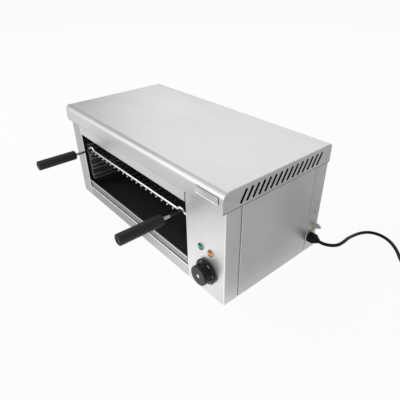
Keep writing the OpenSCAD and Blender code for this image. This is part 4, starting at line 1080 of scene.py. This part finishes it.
# The rail, the post and the fascia are lit and shaded copies of one steel, as painted light and
# painted shade. The plate's dark grey is left only at its outline, as painted shade.
SHEETS = [
    # piece, material, colour, roughness, grain, metallic, marks
    ("control_panel_soft", "steel_panel", STEEL, 0.42, UPRIGHT, 0.74, panel_painted_light),
    ("base_front_rail_soft", "steel_rail", (0.47, 0.47, 0.46), 0.42, ALONG_X, 0.88, rail_painted_light),
    ("left_front_post_soft", "steel_post", (0.53, 0.53, 0.52), 0.44, UPRIGHT, 0.88, post_painted_light),
    ("front_fascia_soft", "steel_fascia", (0.74, 0.74, 0.73), 0.44, ALONG_X, 0.88, fascia_painted_shade_and_seam),
    ("bare_plate", "steel_plate", (0.2, 0.2, 0.2), 0.36, ALONG_X, 0.88, plate_painted_light),
]
for piece, name, colour, roughness, grain, metallic, marks in SHEETS:
    own_finish[piece] = brushed(name, colour, roughness, grain, None, metallic, marks)
own_finish["hood_soft"] = brushed("steel_hood", STEEL, 0.44, ALONG_X, UPRIGHT, marks=hood_painted_shade)
# The tray's darker grey is painted shade for where it sits under the grill.
shaded_tray_colour = (0.29, 0.29, 0.28)
finishes = {
    "steel_casing": brushed("steel_upright", STEEL, 0.44, UPRIGHT, marks=painted_shade_under_hood),
    "steel_tray": brushed("steel_tray", shaded_tray_colour, 0.4, ALONG_X, None, 0.92, tray_painted_light),
}
print("pieces with a steel of their own:", len(own_finish))

# %% [markdown]
# ## Other metals
#
# The disc is bright in the middle with a dark ring round it. Steel inside the grill is near-black,
# painted shade for the inside of the cavity, with brown clouds and specks of heat and grease.
# Wires and small parts are plated: bright, with a faint mottle. Each is the same small recipe, a
# noise that moves the colour and the roughness together.

# %% Disc, oven steel and plated wire
DISC_BRIGHT_R = 3.9 * MM
SPECK_ABOVE = 0.63
MOTTLE, CLOUDS, SPECKS = (90, 90, 90), (14, 14, 14), (260, 260, 260)


def scaled(colour, factor):
    """A colour times a number."""
    return tuple(factor * c for c in colour)


def ringed_disc():
    """A turned disc: bright in the middle, with a dark ring round it. The ring is where the
    distance from the knob's axis is over DISC_BRIGHT_R."""
    shader = Shader("ringed_disc")
    across, _, above = shader.parts_of(shader.place())
    across, above = across - float(knob_x), above - float(knob_z)
    ring = across * across + above * above > DISC_BRIGHT_R**2
    mottle = shader.noise(MOTTLE, 3)
    return shader.done(
        base_color=shader.blend(ring, (0.5, 0.5, 0.5), (0.03, 0.03, 0.03)),
        metallic=0.9,
        roughness=0.3 + 0.15 * mottle,
    )


# Its near-black tones are painted shade for the inside of the grill.
def oven_steel(name, level):
    """Brown clouds between two tones times the level, with dark specks where a finer noise is
    over SPECK_ABOVE."""
    shader = Shader(name)
    cloud = shader.noise(CLOUDS, 4, 0.6)
    speck = shader.noise(SPECKS, 2, 0.5)
    dark, light = scaled((0.03, 0.028, 0.022), level), scaled((0.075, 0.068, 0.052), level)
    tint = shader.blend(cloud, dark, light)
    return shader.done(
        base_color=shader.blend(speck > SPECK_ABOVE, tint, (0.012, 0.01, 0.008)),
        metallic=0.55,
        roughness=0.42 + 0.2 * cloud + 0.1 * speck,
        normal=shader.bump(speck, 0.15, 0.2 * MM),
    )


def drawn_wire(name, colour, roughness, metallic=1.0):
    """Plated wire or a plated small part: its mottle moves the colour down by up to 18 per cent
    and the roughness by up to 0.09."""
    shader = Shader(name)
    mottle = shader.noise(MOTTLE, 3)
    return shader.done(
        base_color=shader.blend(mottle, scaled(colour, 0.82), colour),
        metallic=metallic,
        roughness=roughness - 0.05 + 0.14 * mottle,
        normal=shader.bump(mottle, 0.05, 0.2 * MM),
    )


finishes.update(
    {
        "steel_oven": oven_steel("steel_oven", 0.8),
        "wire_chrome": drawn_wire("wire_chrome", (0.78, 0.78, 0.77), 0.2),
        "zinc_steel": drawn_wire("zinc_steel", (0.72, 0.72, 0.71), 0.4, 0.6),
        "disc_silver": ringed_disc(),
        "sheath_steel": drawn_wire("sheath_steel", (0.16, 0.15, 0.14), 0.45),
        "brass_parts": drawn_wire("brass_parts", (0.7, 0.52, 0.24), 0.3),
    }
)
print("metals:", *finishes)

# %% [markdown]
# ## Plastic, rubber and paint
#
# A mould gives plastic and rubber a fine grain, and handling changes their gloss slowly from
# place to place. One recipe serves them all: a fine noise for the grain and a slow one for the
# colour and the gloss. Black rubber mirrors little, so its specular level is low.

# %% Moulded finishes
HANDLING = (25, 25, 25)


def moulded(name, colour, roughness, grain=700, specular=0.5):
    """The slow noise moves the colour by up to a fifth either way, and both noises move the
    roughness."""
    shader = Shader(name)
    fine = shader.noise((grain, grain, grain), 2)
    slow = shader.noise(HANDLING, 3)
    return shader.done(
        base_color=shader.blend(slow, scaled(colour, 0.8), scaled(colour, 1.2)),
        roughness=roughness - 0.08 + 0.1 * slow + 0.08 * fine,
        specular_ior_level=specular,
        normal=shader.bump(fine, 0.18, 0.1 * MM),
    )


MOULDED = [
    # name, colour, roughness, grain, specular level
    ("rod_black", (0.04, 0.04, 0.04), 0.3, 400, 0.5),
    ("grip_black", (0.025, 0.025, 0.025), 0.6, 900, 0.4),
    ("knob_black", (0.014, 0.014, 0.014), 0.44, 900, 0.28),
    ("ceramic", (0.75, 0.73, 0.68), 0.4, 700, 0.5),
    ("fibre", (0.75, 0.74, 0.7), 0.95, 300, 0.5),
    ("case_dark", (0.03, 0.03, 0.035), 0.5, 700, 0.5),
    ("bezel_plastic", (0.68, 0.69, 0.68), 0.4, 700, 0.5),
    ("lead_insulation", (0.08, 0.02, 0.015), 0.5, 700, 0.5),
    ("rubber_black", (0.01, 0.01, 0.01), 0.45, 1200, 0.18),
    ("gland_black", (0.01, 0.01, 0.01), 0.45, 700, 0.18),
    ("patch_yellow", (0.72, 0.56, 0.05), 0.5, 700, 0.5),
]
for finish in MOULDED:
    finishes[finish[0]] = moulded(*finish)
white_print = moulded("white_print", (0.75, 0.75, 0.73), 0.6)
print("moulded finishes:", len(MOULDED))

# %% [markdown]
# ## Lamps
#
# A pilot lamp's lens is tinted plastic over a small neon tube. A level band a little above the
# middle is painted bright and given a faint painted glow, and above and below it the lens's colour
# falls off to a deep tone, as painted shade. The brightness is a function of the height alone.

# %% Lens finish
LENS_BRIGHT_HALF = 2.7 * MM
LENS_FALL = 1.3 * MM
LENS_GLOW_RISE = 1.1 * MM
LENS_GLOW = 0.35


def lens_glow(name, node, bright, deep):
    """Painted glow up to LENS_BRIGHT_HALF from the tube's height, and a deep painted shade from
    LENS_FALL further.
    """
    shader = Shader(name)
    height = shader.parts_of(shader.place())[2]
    away = abs(height - float(middle(node)[2] + LENS_GLOW_RISE))
    share = 1 - (away - LENS_BRIGHT_HALF) * (1 / LENS_FALL)
    colour = shader.blend(share, deep, bright)
    return shader.done(
        base_color=colour,
        emission_color=colour,
        emission_strength=LENS_GLOW,
        roughness=0.3,
        specular_ior_level=0.15,
    )


GREEN, SHADED_GREEN = (0.01, 0.4, 0.22), (0.001, 0.02, 0.012)
ORANGE, SHADED_ORANGE = (0.85, 0.28, 0.03), (0.09, 0.008, 0.003)
finishes["lens_green"] = lens_glow("lens_green", "green_lens", GREEN, SHADED_GREEN)
finishes["lens_orange"] = lens_glow("lens_orange", "orange_lens", ORANGE, SHADED_ORANGE)
print("finishes:", len(finishes))

# %% [markdown]
# ## Dressing
#
# Each CAD node carries a material slot whose name says what it is made of, and the finish of
# that name takes its place. The new pieces get the finish of their slot, unless they have a
# finish of their own.

# %% Dress every piece
own_finish["scale_ticks"] = own_finish["scale_numbers"] = white_print
for node in frame["nodes"].values():
    for slot in node.material_slots:
        slot.material = finishes[slot.material.name]
for name, slot in made.items():
    materials = bpy.data.objects[name].data.materials
    materials.clear()
    materials.append(own_finish.get(name, finishes[slot]))
print("new pieces:", len(made), "of which with their own finish:", len(own_finish))

# %% [markdown]
# ## The studio
#
# Steel shows what is around it, so the light is made of large soft panels. The strongest stands
# low at the front left and opens up the front. One hangs behind and to the left, where the top
# sheet mirrors it, and fades across the top. One hangs high at the front, and two weak ones
# stand on the right, for the right cover and the end of the hood.

# %% Panels of light
AIM = (0, 0, 0.15)
LIGHTS = [
    # name, place, width, height, brightness
    ("front_panel", (-1.4, -1.95, 1.0), 2.0, 1.4, 1.9),
    ("back_panel_light", (-1.6, 2.0, 1.9), 3.0, 2.0, 1.08),
    ("top_panel", (-0.8, -1.2, 2.2), 2.0, 2.0, 0.9),
    ("right_front_light", (1.7, -1.7, 1.1), 1.8, 1.4, 0.2),
    ("right_back_light", (1.2, 1.7, 1.45), 1.8, 1.2, 0.4),
]


def soft_panel(name, place, width, height, level):
    """A rectangular lamp with an even brightness, which faces AIM. Its power is that brightness
    times its area and pi."""
    data = bpy.data.lights.new(name, "AREA")
    data.shape = "RECTANGLE"
    data.size, data.size_y = width, height
    data.energy = level * width * height * np.pi
    lamp = bpy.data.objects.new(name, data)
    back = unit(np.array(place, dtype=float) - np.array(AIM, dtype=float))
    side = unit(np.cross((0, 0, 1), back))
    top = np.cross(back, side)
    lamp.matrix_world = placed(side, top, back, place)
    lamp.visible_camera = False
    bpy.context.scene.collection.objects.link(lamp)
    print(name, "watts:", round(data.energy, 1))


for light in LIGHTS:
    soft_panel(*light)

# %% [markdown]
# ## World and floor
#
# The world is an even grey that fills the shadows. The camera sees it as white, and mirrored rays
# see a small share of that white. The floor is matt and almost white. What the camera sees of it
# is mostly plain white and partly the floor as it is lit, which keeps a soft shadow under the
# appliance. For mirrored rays the floor has a painted patch of light in front of the control panel
# and a painted shadow beside the right cover, darker in colour and in white, which the steel
# mirrors as light and shade.

# %% World and floor
WORLD_LEVEL, SKY_WHITE, SKY_MIRRORED = 0.36, 0.97, 0.12
FLOOR_HALF = 30
FLOOR_OPEN, FLOOR_PAINTED_SHADOW = (0.9, 0.9, 0.9), (0.72, 0.72, 0.71)
SEEN_WHITE = 0.94
MIRRORED_OPEN, MIRRORED_PAINTED_SHADOW = 0.68, 0.25
POOL_AT, POOL_R, POOL_GAIN = (0.18, -0.17), 0.21, 1.1
PAINTED_SHADOW_CORNER, PAINTED_SHADOW_EDGE = (0.3, -0.08), 0.06

world = bpy.data.worlds.new("studio")
world.use_nodes = True
sky = Shader("sky", world)
ray_kinds = ("Is Camera Ray", "Is Glossy Ray", "Is Transmission Ray")
seen = [sky.node("ShaderNodeLightPath", result=kind) for kind in ray_kinds]
white_share = seen[0] + seen[2] + SKY_MIRRORED * seen[1]
sky.feed(
    sky.tree.nodes["Background"].inputs["Color"],
    sky.blend(white_share, (WORLD_LEVEL,) * 3, (SKY_WHITE,) * 3),
)
bpy.context.scene.world = world

floor_mesh = bpy.data.meshes.new("floor")
floor_mesh.from_pydata(
    [(x * FLOOR_HALF, y * FLOOR_HALF, 0) for x, y in ((-1, -1), (1, -1), (1, 1), (-1, 1))],
    [],
    [(0, 1, 2, 3)],
)
floor = bpy.data.objects.new("floor", floor_mesh)
bpy.context.scene.collection.objects.link(floor)
shader = Shader("floor")
floor_x, floor_y, _ = shader.parts_of(shader.place())
# Painted shadow: past the corner beside the right cover, the floor's colour is darker and mirrored
# rays see less white.
past_corner = (floor_x - PAINTED_SHADOW_CORNER[0]).least(floor_y - PAINTED_SHADOW_CORNER[1])
shade = (past_corner * (1 / PAINTED_SHADOW_EDGE)).clamped()
mirrored = MIRRORED_OPEN - (MIRRORED_OPEN - MIRRORED_PAINTED_SHADOW) * shade
shader.done(
    base_color=shader.blend(shade, FLOOR_OPEN, FLOOR_PAINTED_SHADOW),
    roughness=0.95,
    specular_ior_level=0.0,
)
seen = [shader.node("ShaderNodeLightPath", result=kind) for kind in ray_kinds]
# A painted patch of light in front of the control panel, which only mirrored rays see.
from_x, from_y = floor_x - POOL_AT[0], floor_y - POOL_AT[1]
painted_pool = (1 - (from_x * from_x + from_y * from_y) * (1 / POOL_R**2)).clamped()
white = shader.node(
    "ShaderNodeEmission", None, {"Color": 1 + POOL_GAIN * painted_pool * seen[1], "Strength": 1.0}
)
mix = shader.node(
    "ShaderNodeMixShader",
    None,
    {
        0: SEEN_WHITE * (seen[0] + seen[2]) + mirrored * seen[1],
        1: Value(shader, shader.surface.outputs[0]),
        2: white,
    },
)
shader.feed(shader.tree.nodes["Material Output"].inputs["Surface"], mix)
floor_mesh.materials.append(shader.material)
print("the floor reaches", FLOOR_HALF, "m each way")

# %% [markdown] ## Finish The picture is shown through the Standard view transform.
# The dressed model has to stay in the CAD model's box.

# %% Finish
bpy.context.scene.view_settings.view_transform = "Standard"
